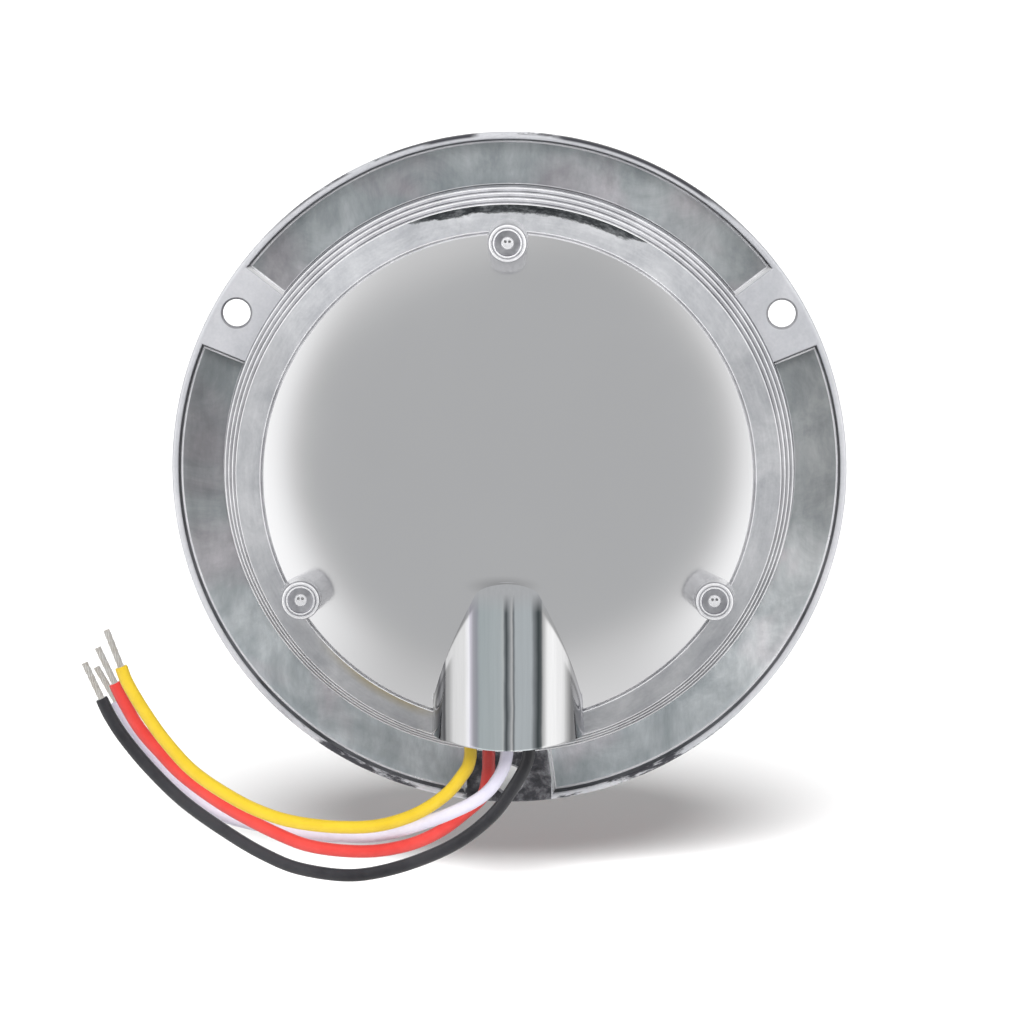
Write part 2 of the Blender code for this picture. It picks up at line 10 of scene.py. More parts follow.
import bmesh
import bpy
import numpy as np
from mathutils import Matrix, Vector


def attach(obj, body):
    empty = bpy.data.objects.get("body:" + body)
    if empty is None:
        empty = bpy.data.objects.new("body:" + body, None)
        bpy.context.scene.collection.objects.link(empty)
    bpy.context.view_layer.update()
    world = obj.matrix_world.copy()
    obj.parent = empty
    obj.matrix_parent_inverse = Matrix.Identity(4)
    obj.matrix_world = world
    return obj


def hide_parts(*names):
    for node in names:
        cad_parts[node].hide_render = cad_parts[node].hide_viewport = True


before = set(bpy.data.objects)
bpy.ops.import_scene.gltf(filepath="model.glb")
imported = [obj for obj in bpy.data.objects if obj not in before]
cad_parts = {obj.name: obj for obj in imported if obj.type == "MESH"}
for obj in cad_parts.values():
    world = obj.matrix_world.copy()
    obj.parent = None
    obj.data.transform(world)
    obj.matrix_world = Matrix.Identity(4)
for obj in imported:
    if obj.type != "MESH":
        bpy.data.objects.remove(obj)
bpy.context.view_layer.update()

MM = 0.001
BACK_H = 26.7  # the flat back
FLANGE_R = 70.0
BEZEL_H = -8.0
DOME_FLAT_R = 10.0
DOME_EDGE_R = 50.2
DOME_DROP = 12.0
WALL = 2.4
CUP_IN_R = 53.6
RECESS_R = 56.8
LEDGE_H = 0.5
GROOVE_H = 14.1

POCKET_R = (59.15, 68.55)
POCKET_DEPTH = 2.5
PAD_DEG = (30.0, 150.0, 270.0)  # the pads between the pockets, with the bolt holes
PAD_PITCH = 120.0
PAD_HALF_DEG = 7.8
BOLT_R = 65.1
BOLT_HOLE_R = 2.85

TUNNEL_R = 15.5
TUNNEL_IN_R = 13.3
TUNNEL_AXIS_H = 11.15
TUNNEL_FLOOR_H = 11.62
TUNNEL_START = -21.5
TUNNEL_TRIM_R = 55.9

BOSS_CIRCLE_R = 48.9
BOSS_DEG = (90.0, 210.0, 330.0)
BOSS_TOP_H = 21.6
REFLECTOR_R = 52.8
REFLECTOR_H = (-5.0, 0.8)
WIRE_R = 1.4
TIP_L = 8.0  # bare strands beyond the insulation
ROUND = 240  # segments round the housing


def polar(radius, deg):
    """A point of the lamp's face seen from behind, with +X to the left, as (x, z)."""
    a = math.radians(deg)
    return -radius * math.cos(a), radius * math.sin(a)


def dome_h(r):
    """Height of the dome's outer skin at radius r."""
    out = np.maximum(r - DOME_FLAT_R, 0.0) / (DOME_EDGE_R - DOME_FLAT_R)
    return BACK_H - DOME_DROP * out**2


# ------------------------------------------------------------------ shader nodes
class Nodes:
    """A node tree with short calls for the nodes used here."""

    def __init__(self, tree):
        self.tree = tree

    def node(self, kind, inputs=None, **props):
        n = self.tree.nodes.new(kind)
        for key, value in props.items():
            setattr(n, key, value)
        for key, value in (inputs or {}).items():
            if isinstance(value, bpy.types.NodeSocket):
                self.tree.links.new(value, n.inputs[key])
            else:
                n.inputs[key].default_value = value
        return n

    def math(self, operation, a, b=0.0, c=0.0, clamp=False):
        inputs = {0: a, 1: b, 2: c}
        return self.node(
            "ShaderNodeMath", inputs, operation=operation, use_clamp=clamp
        ).outputs[0]

    def times(self, a, b):
        return self.math("MULTIPLY", a, b)

    def plus(self, a, b):
        return self.math("ADD", a, b)

    def minus(self, a, b):
        return self.math("SUBTRACT", a, b)

    def line(self, fac, gain, offset, clamp=False):
        """fac * gain + offset."""
        return self.math("MULTIPLY_ADD", fac, gain, offset, clamp)

    def weighed(self, first, *rest):
        """Sum of (value, weight) pairs."""
        part = self.times(*first)
        return self.plus(part, self.weighed(*rest)) if rest else part

    def length(self, a, b):
        return self.math("SQRT", self.plus(self.times(a, a), self.times(b, b)))

    def xyz(self, vector):
        return tuple(self.node("ShaderNodeSeparateXYZ", {0: vector}).outputs)

    def vector(self, x, y, z):
        return self.node("ShaderNodeCombineXYZ", {0: x, 1: y, 2: z}).outputs[0]

    def ramp(self, fac, stops):
        """Colour ramp through (place, colour) stops; a plain number stands for a grey."""
        n = self.node("ShaderNodeValToRGB", {"Fac": fac})
        elements = n.color_ramp.elements
        while len(elements) > 1:
            elements.remove(elements[0])
        for i, (place, colour) in enumerate(stops):
            e = elements[0] if i == 0 else elements.new(place)
            e.position = place
            e.color = (*((colour,) * 3 if isinstance(colour, (int, float)) else colour), 1.0)
        return n.outputs["Color"]

    def mix(self, fac, a, b, **props):
        inputs = {0: fac, 6: a, 7: b}
        return self.node("ShaderNodeMix", inputs, data_type="RGBA", **props).outputs[2]

    def multiply(self, a, b):
        return self.mix(1.0, a, b, blend_type="MULTIPLY")

    def smoothstep(self, fac, start, end, low=0.0, high=1.0):
        inputs = {0: fac, 1: start, 2: end, 3: low, 4: high}
        n = self.node("ShaderNodeMapRange", inputs, interpolation_type="SMOOTHSTEP")
        return n.outputs[0]


class Material(Nodes):
    """A material round one principled shader, patterned in object coordinates (metres)."""

    def __init__(self, name):
        self.mat = bpy.data.materials.new("m_" + name)
        self.mat.use_nodes = True
        super().__init__(self.mat.node_tree)
        self.shader = self.tree.nodes["Principled BSDF"]
        self.coord = self.tree.nodes.new("ShaderNodeTexCoord").outputs["Object"]

    def place(self):
        return self.xyz(self.coord)

    def radius(self):
        x, _, z = self.place()
        return self.length(x, z)

    def round_axis(self):
        """(radius, share of a turn, y) round the lamp's axis."""
        x, y, z = self.place()
        r = self.length(x, z)
        return r, self.math("DIVIDE", self.math("ARCTAN2", z, x), 2 * math.pi), y

    def mapping(self, **inputs):
        return self.node("ShaderNodeMapping", {"Vector": self.coord, **inputs}).outputs[0]

    def noise(self, scale, detail=4.0, rough=0.55, vector=None, distortion=0.0):
        inputs = {
            "Vector": vector or self.coord,
            "Scale": scale,
            "Detail": detail,
            "Roughness": rough,
            "Distortion": distortion,
        }
        return self.node("ShaderNodeTexNoise", inputs).outputs["Fac"]

    def link(self, output, name):
        self.tree.links.new(output, self.shader.inputs[name])

    def colour(self, output):
        self.link(output, "Base Color")

    def roughness(self, fac, spread, base):
        self.link(self.line(fac, spread, base, clamp=True), "Roughness")

    def set(self, **values):
        for key, value in values.items():
            self.shader.inputs[key.replace("_", " ")].default_value = value

    def bump(self, height, strength, distance, normal=None):
        inputs = {"Height": height, "Strength": strength, "Distance": distance}
        if normal is not None:
            inputs["Normal"] = normal
        return self.node("ShaderNodeBump", inputs).outputs["Normal"]


# ------------------------------------------------------------------ materials
TURNED = 0.0  # strength of the tool marks in metal(); none show


def metal(name, dark, light, rough, patch, fine, bump, grain=0.02):
    """Cast or polished metal with cloudy patches of scale patch and grit of scale fine."""
    t = Material(name)
    cloud = t.noise(scale=patch, detail=5.0, rough=0.6, distortion=0.4)
    grit = t.noise(scale=fine, detail=3.0, rough=0.6)
    t.colour(t.ramp(t.weighed((cloud, 0.82), (grit, 0.18)), [(0.36, dark), (0.64, light)]))
    r, a, y = t.round_axis()
    around = t.vector(t.times(r, 1.0), t.times(a, 0.02), y)
    rings = t.noise(scale=2600.0, detail=3.0, rough=0.6, vector=around)
    patches = t.line(cloud, gain=0.14, offset=rough - 0.07)
    marks = t.times(t.minus(rings, 0.5), TURNED * 0.25)
    t.link(t.math("ADD", patches, marks, clamp=True), "Roughness")
    height = t.weighed((grit, 1.0), (rings, TURNED * 3.0))
    surface = t.bump(height, strength=bump, distance=0.00005)
    dents = t.noise(scale=260.0, detail=2.0)
    t.link(t.bump(dents, strength=grain, distance=0.0001, normal=surface), "Normal")
    t.set(Metallic=1.0)
    return t.mat


def chrome(name, tint, rough):
    """Bright plated metal with faint polishing lines and a slight orange peel."""
    t = Material(name)
    lines = t.mapping(Scale=(700.0, 700.0, 25.0))
    stretched_noise = t.noise(scale=1.0, detail=3.0, rough=0.5, vector=lines)
    cloud = t.noise(scale=120.0, detail=3.0)
    t.colour(t.ramp(stretched_noise, [(0.3, tuple(c * 0.93 for c in tint)), (0.7, tint)]))
    t.roughness(cloud, spread=0.05, base=rough - 0.02)
    surface = t.bump(stretched_noise, strength=0.035, distance=0.00004)
    peel = t.noise(scale=180.0, detail=1.0)
    t.link(t.bump(peel, strength=0.03, distance=0.0001, normal=surface), "Normal")
    t.set(Metallic=1.0)
    return t.mat


def pvc(name, dark, light, rough=0.34):
    """Wire insulation: colour drifts along its length, with fine lines and small scuffs."""
    t = Material("pvc_" + name)
    drift = t.noise(scale=45.0, detail=3.0)
    scuff = t.noise(scale=420.0, detail=6.0, rough=0.7)
    t.colour(t.ramp(t.weighed((drift, 0.7), (scuff, 0.3)), [(0.35, dark), (0.62, light)]))
    t.roughness(scuff, spread=0.22, base=rough - 0.1)
    waves = t.bump(t.noise(scale=160.0, detail=2.0), strength=0.05, distance=0.0002)
    grain = t.noise(scale=1500.0, detail=2.0)
    t.link(t.bump(grain, strength=0.06, distance=0.00004, normal=waves), "Normal")
    t.set(Coat_Weight=0.15, Coat_Roughness=0.25, Specular_IOR_Level=0.45)
    return t.mat


def rubber(name, base):
    t = Material(name)
    grain = t.noise(scale=900.0, detail=5.0, rough=0.7)
    t.colour(t.ramp(grain, [(0.3, base), (0.75, tuple(c * 2.2 for c in base))]))
    t.roughness(t.noise(scale=300.0, detail=3.0), spread=0.25, base=0.5)
    t.link(t.bump(grain, strength=0.15, distance=0.00008), "Normal")
    return t.mat


def moulded(name, dark, light, rough, scale=700.0):
    """Opaque moulded plastic with an even grain."""
    t = Material(name)
    grain = t.noise(scale=scale, detail=4.0, rough=0.6)
    t.colour(t.ramp(grain, [(0.3, dark), (0.7, light)]))
    t.roughness(t.noise(scale=scale * 0.4, detail=3.0), spread=0.2, base=rough - 0.1)
    t.link(t.bump(grain, strength=0.12, distance=0.00006), "Normal")
    return t.mat


def lens_plastic(name, tint, deep, rough=0.03):
    """Clear moulded plastic with faint flow marks and a little haze."""
    t = Material(name)
    flow = t.noise(scale=28.0, detail=3.0, rough=0.5, distortion=0.6)
    t.colour(t.ramp(flow, [(0.3, deep), (0.7, tint)]))
    t.roughness(t.noise(scale=90.0, detail=3.0), spread=0.04, base=rough)
    waves = t.noise(scale=140.0, detail=1.5)
    t.link(t.bump(waves, strength=0.02, distance=0.0001), "Normal")
    t.set(Transmission_Weight=1.0, IOR=1.49, Coat_Weight=0.3, Coat_Roughness=0.02)
    return t.mat


def painted_side_light(t, side, top, low):
    """Painted light: a grey of one value left and right of the axis and others above and below it.
    """
    z = t.place()[2]
    rise = t.math("DIVIDE", z, t.math("MAXIMUM", t.radius(), 0.001))
    share = t.line(rise, gain=0.5, offset=0.5)
    return t.ramp(share, [(0.02, low), (0.2, low), (0.45, side), (0.72, side), (0.93, top)])


def band_patch_and_reflection(t, base, r, a):
    """A dark ragged patch under the band's outer edge at the top, and a painted warm reflection
    low on the +X side.
    """
    x, _, z = t.place()
    stretched = t.vector(t.times(r, 520.0), t.times(a, 60.0), 0.0)
    stretched_noise = t.noise(scale=1.0, detail=7.0, rough=0.75, vector=stretched)

    # The dark patch is widest about x = -0.0042 and thins out to both sides.
    off = t.math("ABSOLUTE", t.plus(x, 0.0042))
    beyond = t.math("MAXIMUM", t.minus(off, 0.018), 0.0)
    reach = t.line(beyond, gain=-0.22, offset=0.0016)
    ragged = t.plus(r, t.line(stretched_noise, gain=0.0028, offset=-0.0009))
    inside = t.minus(ragged, t.minus(0.0564, reach))
    edge = t.ramp(t.times(inside, 1000.0), [(0.0, 0), (0.35, 1)])
    patch = t.times(t.math("GREATER_THAN", z, 0.03), edge)
    tones = [(0.38, (0.015, 0.018, 0.02)), (0.5, (0.06, 0.065, 0.07)), (0.65, (0.24, 0.25, 0.26))]
    base = t.mix(patch, base, t.ramp(stretched_noise, tones))

    # Painted warm reflection low on the +X side.
    across = t.ramp(t.times(x, 10.0), [(0.14, 0), (0.2, 1), (0.3, 1), (0.4, 0)])
    inward = t.ramp(t.times(r, 10.0), [(0.508, 1), (0.53, 0)])
    warm_reflection = t.times(t.math("LESS_THAN", z, 0.0), t.times(across, inward))
    return t.mix(warm_reflection, base, (0.36, 0.31, 0.20, 1.0))


def cast_band(name, dark, light, rough, side, top, low, metallic=0.6, marks=False):
    """Satin turned metal with patches and tool lines, its tone multiplied by painted light that
    differs beside, above and below the axis.
    """
    t = Material(name)
    r, a, y = t.round_axis()
    around = t.vector(r, t.times(a, 0.03), y)
    rings = t.noise(scale=1500.0, detail=3.0, rough=0.6, vector=around)
    cloud = t.noise(scale=75.0, detail=6.0, rough=0.68, distortion=0.5)
    fine = t.noise(scale=1500.0, detail=3.0, rough=0.6)
    fac = t.weighed((cloud, 0.72), (rings, 0.16), (fine, 0.12))
    tone = t.ramp(fac, [(0.38, dark), (0.62, light)])
    # Painted light: side, top and low set the brightness beside, above and below the axis.
    base = t.multiply(tone, painted_side_light(t, side, top, low))
    # marks adds a dark patch at the top and a painted warm reflection.
    if marks:
        base = band_patch_and_reflection(t, base, r, a)
    t.colour(base)
    t.roughness(cloud, spread=0.2, base=rough - 0.1)
    dents = t.bump(t.noise(scale=300.0, detail=2.0), strength=0.05, distance=0.0001)
    lines = t.bump(t.plus(rings, fine), strength=0.05, distance=0.00005, normal=dents)
    t.link(lines, "Normal")
    t.set(Metallic=metallic)
    return t.mat


def pad_metal(name):
    """Smooth light casting skin, with painted dark reflections on the rim's edge above and below,
    and a painted shadow and reflection of the wires on the lowest pad."""
    t = Material(name)
    r, a, _ = t.round_axis()
    cloud = t.noise(scale=60.0, detail=5.0, rough=0.6, distortion=0.5)
    fine = t.noise(scale=1600.0, detail=3.0, rough=0.6)
    skin = [(0.35, (0.56, 0.57, 0.60)), (0.65, (0.72, 0.72, 0.75))]
    base = t.ramp(t.weighed((cloud, 0.75), (fine, 0.25)), skin)
    x, _, z = t.place()

    # Painted dark reflections: ragged, near the edge, far above and below the axis and wider
    # below.
    tall = t.math("ABSOLUTE", z)
    stretched = t.vector(t.times(r, 300.0), t.times(a, 26.0), 0.0)
    stretched_noise = t.noise(scale=1.0, detail=7.0, rough=0.7, vector=stretched)
    widen = t.line(t.math("LESS_THAN", z, 0.0), gain=0.0022, offset=-0.0003)
    rim = t.ramp(t.times(t.plus(r, widen), 10.0), [(0.6925, 0), (0.695, 1)])
    far = t.ramp(tall, [(0.048, 0), (0.056, 1)])
    ragged = t.ramp(stretched_noise, [(0.46, 0), (0.52, 1)])
    where = t.times(rim, t.times(far, ragged))
    base = t.mix(where, base, (0.07, 0.07, 0.08, 1.0))

    # Two long painted dark reflections on the very edge above.
    spans = [(0.075, 0), (0.10, 1), (0.385, 1), (0.415, 0)]
    spans += [(0.56, 0), (0.58, 1), (0.66, 1), (0.68, 0)]
    stroke = t.ramp(t.line(x, gain=10.0, offset=0.5), spans)
    very_edge = t.ramp(t.times(r, 10.0), [(0.6935, 0), (0.6952, 1)])
    drawn = t.times(t.times(stroke, very_edge), t.math("GREATER_THAN", z, 0.0))
    base = t.mix(drawn, base, (0.06, 0.06, 0.07, 1.0))

    # Painted shadow and reflection of the wires: dark blots on the lowest pad.
    narrow = t.math("LESS_THAN", t.math("ABSOLUTE", x), 0.0088)
    low = t.times(t.math("LESS_THAN", z, -0.0545), narrow)
    wire_shade = t.noise(scale=150.0, detail=7.0, rough=0.7, distortion=0.15)
    shades = [(0.38, (0.02, 0.02, 0.025)), (0.5, (0.08, 0.08, 0.09)), (0.64, (0.34, 0.34, 0.36))]
    t.colour(t.mix(low, base, t.ramp(wire_shade, shades)))

    t.roughness(cloud, spread=0.2, base=0.3)
    dents = t.bump(t.noise(scale=220.0, detail=2.0), strength=0.03, distance=0.0001)
    t.link(t.bump(fine, strength=0.03, distance=0.00005, normal=dents), "Normal")
    t.set(Metallic=0.55)
    return t.mat


def pocket_metal(name):
    """Rough pocket floors: cool grey, slanting brushed clouds and a violet cast in places, with
    painted light above and below and painted highlights near the walls.
    """
    t = Material(name)
    r = t.radius()
    slant = t.mapping(Rotation=(0.0, math.radians(38.0), 0.0), Scale=(1.0, 1.0, 0.3))
    brushed = t.noise(scale=430.0, detail=6.0, rough=0.7, vector=slant)
    cloud = t.noise(scale=64.0, detail=7.0, rough=0.7, distortion=0.7)
    tint = t.noise(scale=38.0, detail=3.0, rough=0.5, distortion=0.4)
    fac = t.weighed((brushed, 0.3), (cloud, 0.7))
    cool = [(0.34, (0.165, 0.185, 0.195)), (0.5, (0.25, 0.27, 0.28)), (0.66, (0.36, 0.38, 0.39))]
    violet = [(0.34, (0.20, 0.195, 0.21)), (0.5, (0.285, 0.28, 0.295)), (0.66, (0.40, 0.39, 0.41))]
    turn = t.ramp(tint, [(0.5, 0), (0.62, 1)])
    base = t.mix(turn, t.ramp(fac, cool), t.ramp(fac, violet))
    # Painted light: the floor is brighter below and above the axis than beside it.
    lit = t.multiply(base, painted_side_light(t, side=0.92, top=1.4, low=2.0))
    # Painted highlights: lighter towards both walls. The floor is also lighter on the -X side.
    walls = [(0.59, 1.3), (0.625, 1.0), (0.665, 0.92), (0.68, 1.15)]
    across = t.ramp(t.times(r, 10.0), walls)
    x = t.place()[0]
    off_side = t.ramp(t.line(x, gain=6.0, offset=0.5), [(0.15, (1.35, 1.31, 1.29)), (0.35, 1.0)])
    t.colour(t.multiply(t.multiply(lit, across), off_side))
    t.roughness(brushed, spread=0.25, base=0.32)
    clouds = t.bump(cloud, strength=0.1, distance=0.0003)
    t.link(t.bump(brushed, strength=0.06, distance=0.00008, normal=clouds), "Normal")
    t.set(Metallic=0.6)
    return t.mat


def pocket_wall(name):
    """Pocket walls in painted shade all round, with painted light on the short ends that face up
    or sideways.
    """
    t = Material(name)
    r = t.radius()
    normal_x, _, normal_z = t.xyz(t.node("ShaderNodeNewGeometry").outputs["Normal"])
    x, _, z = t.place()
    outward = t.plus(t.times(normal_x, x), t.times(normal_z, z))
    radial = t.math("ABSOLUTE", t.math("DIVIDE", outward, r))
    # Painted light: ends whose normals don't point down are pale, as if lit from above.
    not_down = t.math("GREATER_THAN", normal_z, -0.4)
    end = t.times(t.math("LESS_THAN", radial, 0.5), not_down)
    cloud = t.noise(scale=120.0, detail=5.0, rough=0.6)
    dark = t.ramp(cloud, [(0.35, (0.03, 0.03, 0.035)), (0.65, (0.12, 0.12, 0.13))])
    lit_end = t.ramp(cloud, [(0.35, (0.86, 0.86, 0.87)), (0.65, (0.98, 0.98, 0.98))])
    t.colour(t.mix(end, dark, lit_end))
    t.roughness(cloud, spread=0.2, base=0.3)
    grain = t.noise(scale=900.0, detail=3.0)
    t.link(t.bump(grain, strength=0.05, distance=0.00005), "Normal")
    t.set(Metallic=0.4)
    return t.mat


def dome_metal(name):
    """Polished skin of the dome, with a painted shade where the tunnel rises out of it."""
    t = Material(name)
    cloud = t.noise(scale=14.0, detail=5.0, rough=0.6, distortion=0.4)
    grit = t.noise(scale=2200.0, detail=3.0, rough=0.6)
    skin = [(0.36, (0.845, 0.845, 0.855)), (0.64, (0.865, 0.865, 0.875))]
    base = t.ramp(t.weighed((cloud, 0.82), (grit, 0.18)), skin)
    x, _, z = t.place()
    # Painted shade in an ellipse round the tunnel's start: its centre is taken off, then its half
    # axes divide.
    dx = t.math("DIVIDE", t.minus(x, 0.0009), 0.0088)
    dz = t.math("DIVIDE", t.plus(z, 0.0208), 0.0026)
    tunnel_shade = t.smoothstep(t.length(dx, dz), start=0.0, end=1.0, low=0.66, high=1.0)
    t.colour(t.multiply(base, tunnel_shade))
    t.roughness(cloud, spread=0.14, base=0.12)
    fine = t.bump(grit, strength=0.006, distance=0.00005)
    dents = t.noise(scale=260.0, detail=2.0)
    t.link(t.bump(dents, strength=0.003, distance=0.0001, normal=fine), "Normal")
    t.set(Metallic=1.0)
    return t.mat


PALE_STREAK = (0.64, 0.64, 0.645)
WHITE_STREAK = (0.78, 0.78, 0.785)
STREAK_SPAN = 32.0
# Painted reflections of the tunnel, as lengthwise streaks: x in mm and colour.
REFLECTION_STREAKS = [
    (-15.4, (0.62, 0.62, 0.65)), (-14.9, (0.42, 0.42, 0.44)), (-14.0, (0.36, 0.36, 0.37)),
    (-13.0, (0.34, 0.34, 0.345)), (-12.2, PALE_STREAK), (-9.5, WHITE_STREAK),
    (-7.3, WHITE_STREAK), (-6.95, (0.22, 0.24, 0.25)), (-6.3, (0.10, 0.12, 0.125)),
    (-5.4, (0.45, 0.48, 0.50)), (-4.9, (0.86, 0.92, 0.95)), (-1.7, (0.86, 0.92, 0.95)),
    (-1.35, (0.25, 0.27, 0.29)), (-1.0, (1.0, 1.0, 1.0)), (-0.5, (0.50, 0.53, 0.55)),
    (0.1, (0.12, 0.14, 0.15)), (0.5, (0.42, 0.45, 0.47)), (0.8, (0.95, 1.0, 1.0)),
    (1.2, (0.84, 0.91, 0.93)), (5.6, (0.76, 0.84, 0.86)), (6.2, (0.62, 0.64, 0.70)),
    (7.5, (0.66, 0.64, 0.72)), (7.8, (0.80, 0.80, 0.84)), (8.6, PALE_STREAK),
    (12.6, (0.56, 0.56, 0.565)), (12.95, (0.13, 0.13, 0.14)), (13.5, (0.27, 0.27, 0.28)),
    (14.1, (0.12, 0.12, 0.13)), (14.8, (0.28, 0.28, 0.28)), (15.4, (0.62, 0.62, 0.62)),
]


def tunnel_chrome(name):
    """Plated metal with painted reflections as dark and bright lengthwise streaks."""
    t = Material(name)
    x, _, z = t.place()
    stretched = t.vector(t.times(x, 260.0), 0.0, t.times(z, 90.0))
    wander = t.noise(scale=1.0, detail=3.0, rough=0.6, vector=stretched)
    drifted = t.plus(t.times(x, 1000.0), t.line(wander, gain=0.6, offset=-0.3))
    share = t.line(drifted, gain=1 / STREAK_SPAN, offset=0.5)
    streaks = t.ramp(share, [(0.5 + mm / STREAK_SPAN, colour) for mm, colour in REFLECTION_STREAKS])
    # The painted reflections fade in below the tunnel's start.
    fade = t.ramp(t.times(z, -10.0), [(0.222, 0), (0.262, 1)])
    base = t.mix(fade, (0.86, 0.87, 0.89, 1.0), streaks)
    lines = t.mapping(Scale=(1500.0, 1500.0, 50.0))
    hair = t.noise(scale=1.0, detail=3.0, rough=0.6, vector=lines)
    t.colour(t.multiply(base, t.ramp(hair, [(0.3, 0.93), (0.7, 1)])))
    t.roughness(t.noise(scale=120.0, detail=3.0), spread=0.06, base=0.05)
    t.link(t.bump(hair, strength=0.02, distance=0.00003), "Normal")
    t.set(Metallic=1.0)
    return t.mat


# For each cast band, side, top and low set its painted light beside, above and below the axis.
MATERIAL_LIST = (
    dome_metal("dome"),
    cast_band("band", (0.59, 0.605, 0.64), (0.92, 0.93, 0.96), rough=0.36,
              side=0.56, top=0.88, low=0.50, metallic=0.8, marks=True),
    cast_band("steps", (0.60, 0.60, 0.63), (0.90, 0.90, 0.93), rough=0.30,
              side=0.68, top=1.0, low=0.52, metallic=0.65),
    # Painted highlight: the light edge material goes on rounded outer edges.
    cast_band("edge", (0.80, 0.80, 0.82), (0.96, 0.96, 0.98), rough=0.2,
              side=0.92, top=1.0, low=0.85, metallic=0.45),
    # Painted shade: the dark crease material goes in the steps' inner corners.
    cast_band("crease", (0.16, 0.16, 0.18), (0.44, 0.44, 0.47), rough=0.4,
              side=0.75, top=0.8, low=0.6),
    # Painted highlight on the rounded foot of each pocket.
    cast_band("foot", (0.70, 0.70, 0.73), (0.95, 0.95, 0.97), rough=0.25,
              side=0.95, top=0.8, low=0.85, metallic=0.4),
    pocket_wall("wall"),
    # Painted shade: the darker groove material lines the groove between band and dome.
    cast_band("groove", (0.36, 0.36, 0.38), (0.62, 0.62, 0.64), rough=0.35,
              side=0.9, top=1.0, low=0.8),
    # Painted shade in bolt holes and in the bosses' ring grooves.
    cast_band("bore", (0.24, 0.24, 0.26), (0.44, 0.44, 0.46), rough=0.4,
              side=1.0, top=1.0, low=1.0),
    # Painted shade in the dished tops of the bosses.
    metal("boss_dark", (0.44, 0.44, 0.47), (0.74, 0.74, 0.77), rough=0.3,
          patch=300.0, fine=1200.0, bump=0.06),
    pad_metal("rim"),
    pocket_metal("pocket"),
    tunnel_chrome("tunnel"),
    cast_band("boss", (0.68, 0.68, 0.70), (0.84, 0.84, 0.86), rough=0.25,
              side=0.95, top=1.0, low=0.9, metallic=0.5),
    chrome("bezel", (0.88, 0.89, 0.90), rough=0.06),
    metal("inside", (0.55, 0.56, 0.58), (0.72, 0.73, 0.75), rough=0.5,
          patch=60.0, fine=700.0, bump=0.15, grain=0.15),
    chrome("reflector", (0.92, 0.93, 0.94), rough=0.07),
    lens_plastic("red_lens", tint=(0.80, 0.012, 0.012), deep=(0.66, 0.008, 0.008)),
    lens_plastic("clear_lens", tint=(0.97, 0.98, 0.99), deep=(0.93, 0.95, 0.96)),
    rubber("rubber", (0.022, 0.022, 0.024)),
    metal("screw", (0.66, 0.66, 0.68), (0.84, 0.84, 0.86), rough=0.24,
          patch=300.0, fine=1800.0, bump=0.04),
    metal("tinned", (0.72, 0.66, 0.58), (0.86, 0.84, 0.80), rough=0.30,
          patch=400.0, fine=1800.0, bump=0.05),
    moulded("led_body", (0.78, 0.77, 0.72), (0.90, 0.89, 0.86), rough=0.4),
    lens_plastic("led_red", tint=(0.92, 0.10, 0.08), deep=(0.80, 0.05, 0.04), rough=0.05),
    moulded("led_white", (0.92, 0.82, 0.35), (0.96, 0.90, 0.55), rough=0.25),
    moulded("board", (0.012, 0.10, 0.045), (0.03, 0.22, 0.09), rough=0.4, scale=260.0),
    moulded("black_part", (0.02, 0.02, 0.022), (0.05, 0.05, 0.055), rough=0.45),
    moulded("can", (0.03, 0.04, 0.12), (0.06, 0.08, 0.2), rough=0.35),
    moulded("tan_part", (0.55, 0.40, 0.24), (0.70, 0.54, 0.36), rough=0.45),
    pvc("yellow", (0.55, 0.37, 0.01), (0.66, 0.47, 0.026)),
    pvc("white", (0.52, 0.50, 0.60), (0.64, 0.62, 0.71)),
    pvc("red", (0.52, 0.028, 0.024), (0.62, 0.058, 0.05)),
    pvc("black", (0.012, 0.012, 0.015), (0.035, 0.035, 0.04), rough=0.38),
)
MATERIALS = {mat.name.removeprefix("m_"): mat for mat in MATERIAL_LIST}


# ------------------------------------------------------------------ solids
# A part is (vertices in mm, faces, zones). A face's zone names its material, and None
# stands for the first material of the mesh.
def to_frame(points):
    """(x, h, z) in mm to frame metres."""
    return (np.asarray(points, float) - (0.0, BACK_H, 0.0)) * MM


def build_mesh(name, part, *mats):
    verts, faces, zones = part
    mesh = bpy.data.meshes.new(name)
    mesh.from_pydata([tuple(v) for v in to_frame(verts)], [], [tuple(f) for f in faces])
    for mat in mats:
        mesh.materials.append(MATERIALS[mat])
    indices = [mats.index(zone) if zone else 0 for zone in zones]
    mesh.polygons.foreach_set("material_index", np.asarray(indices, np.int32))
    bm = bmesh.new()
    bm.from_mesh(mesh)
    bmesh.ops.remove_doubles(bm, verts=bm.verts, dist=1e-7)
    bmesh.ops.recalc_face_normals(bm, faces=bm.faces)
    bm.to_mesh(mesh)
    bm.free()
    mesh.update()
    return mesh


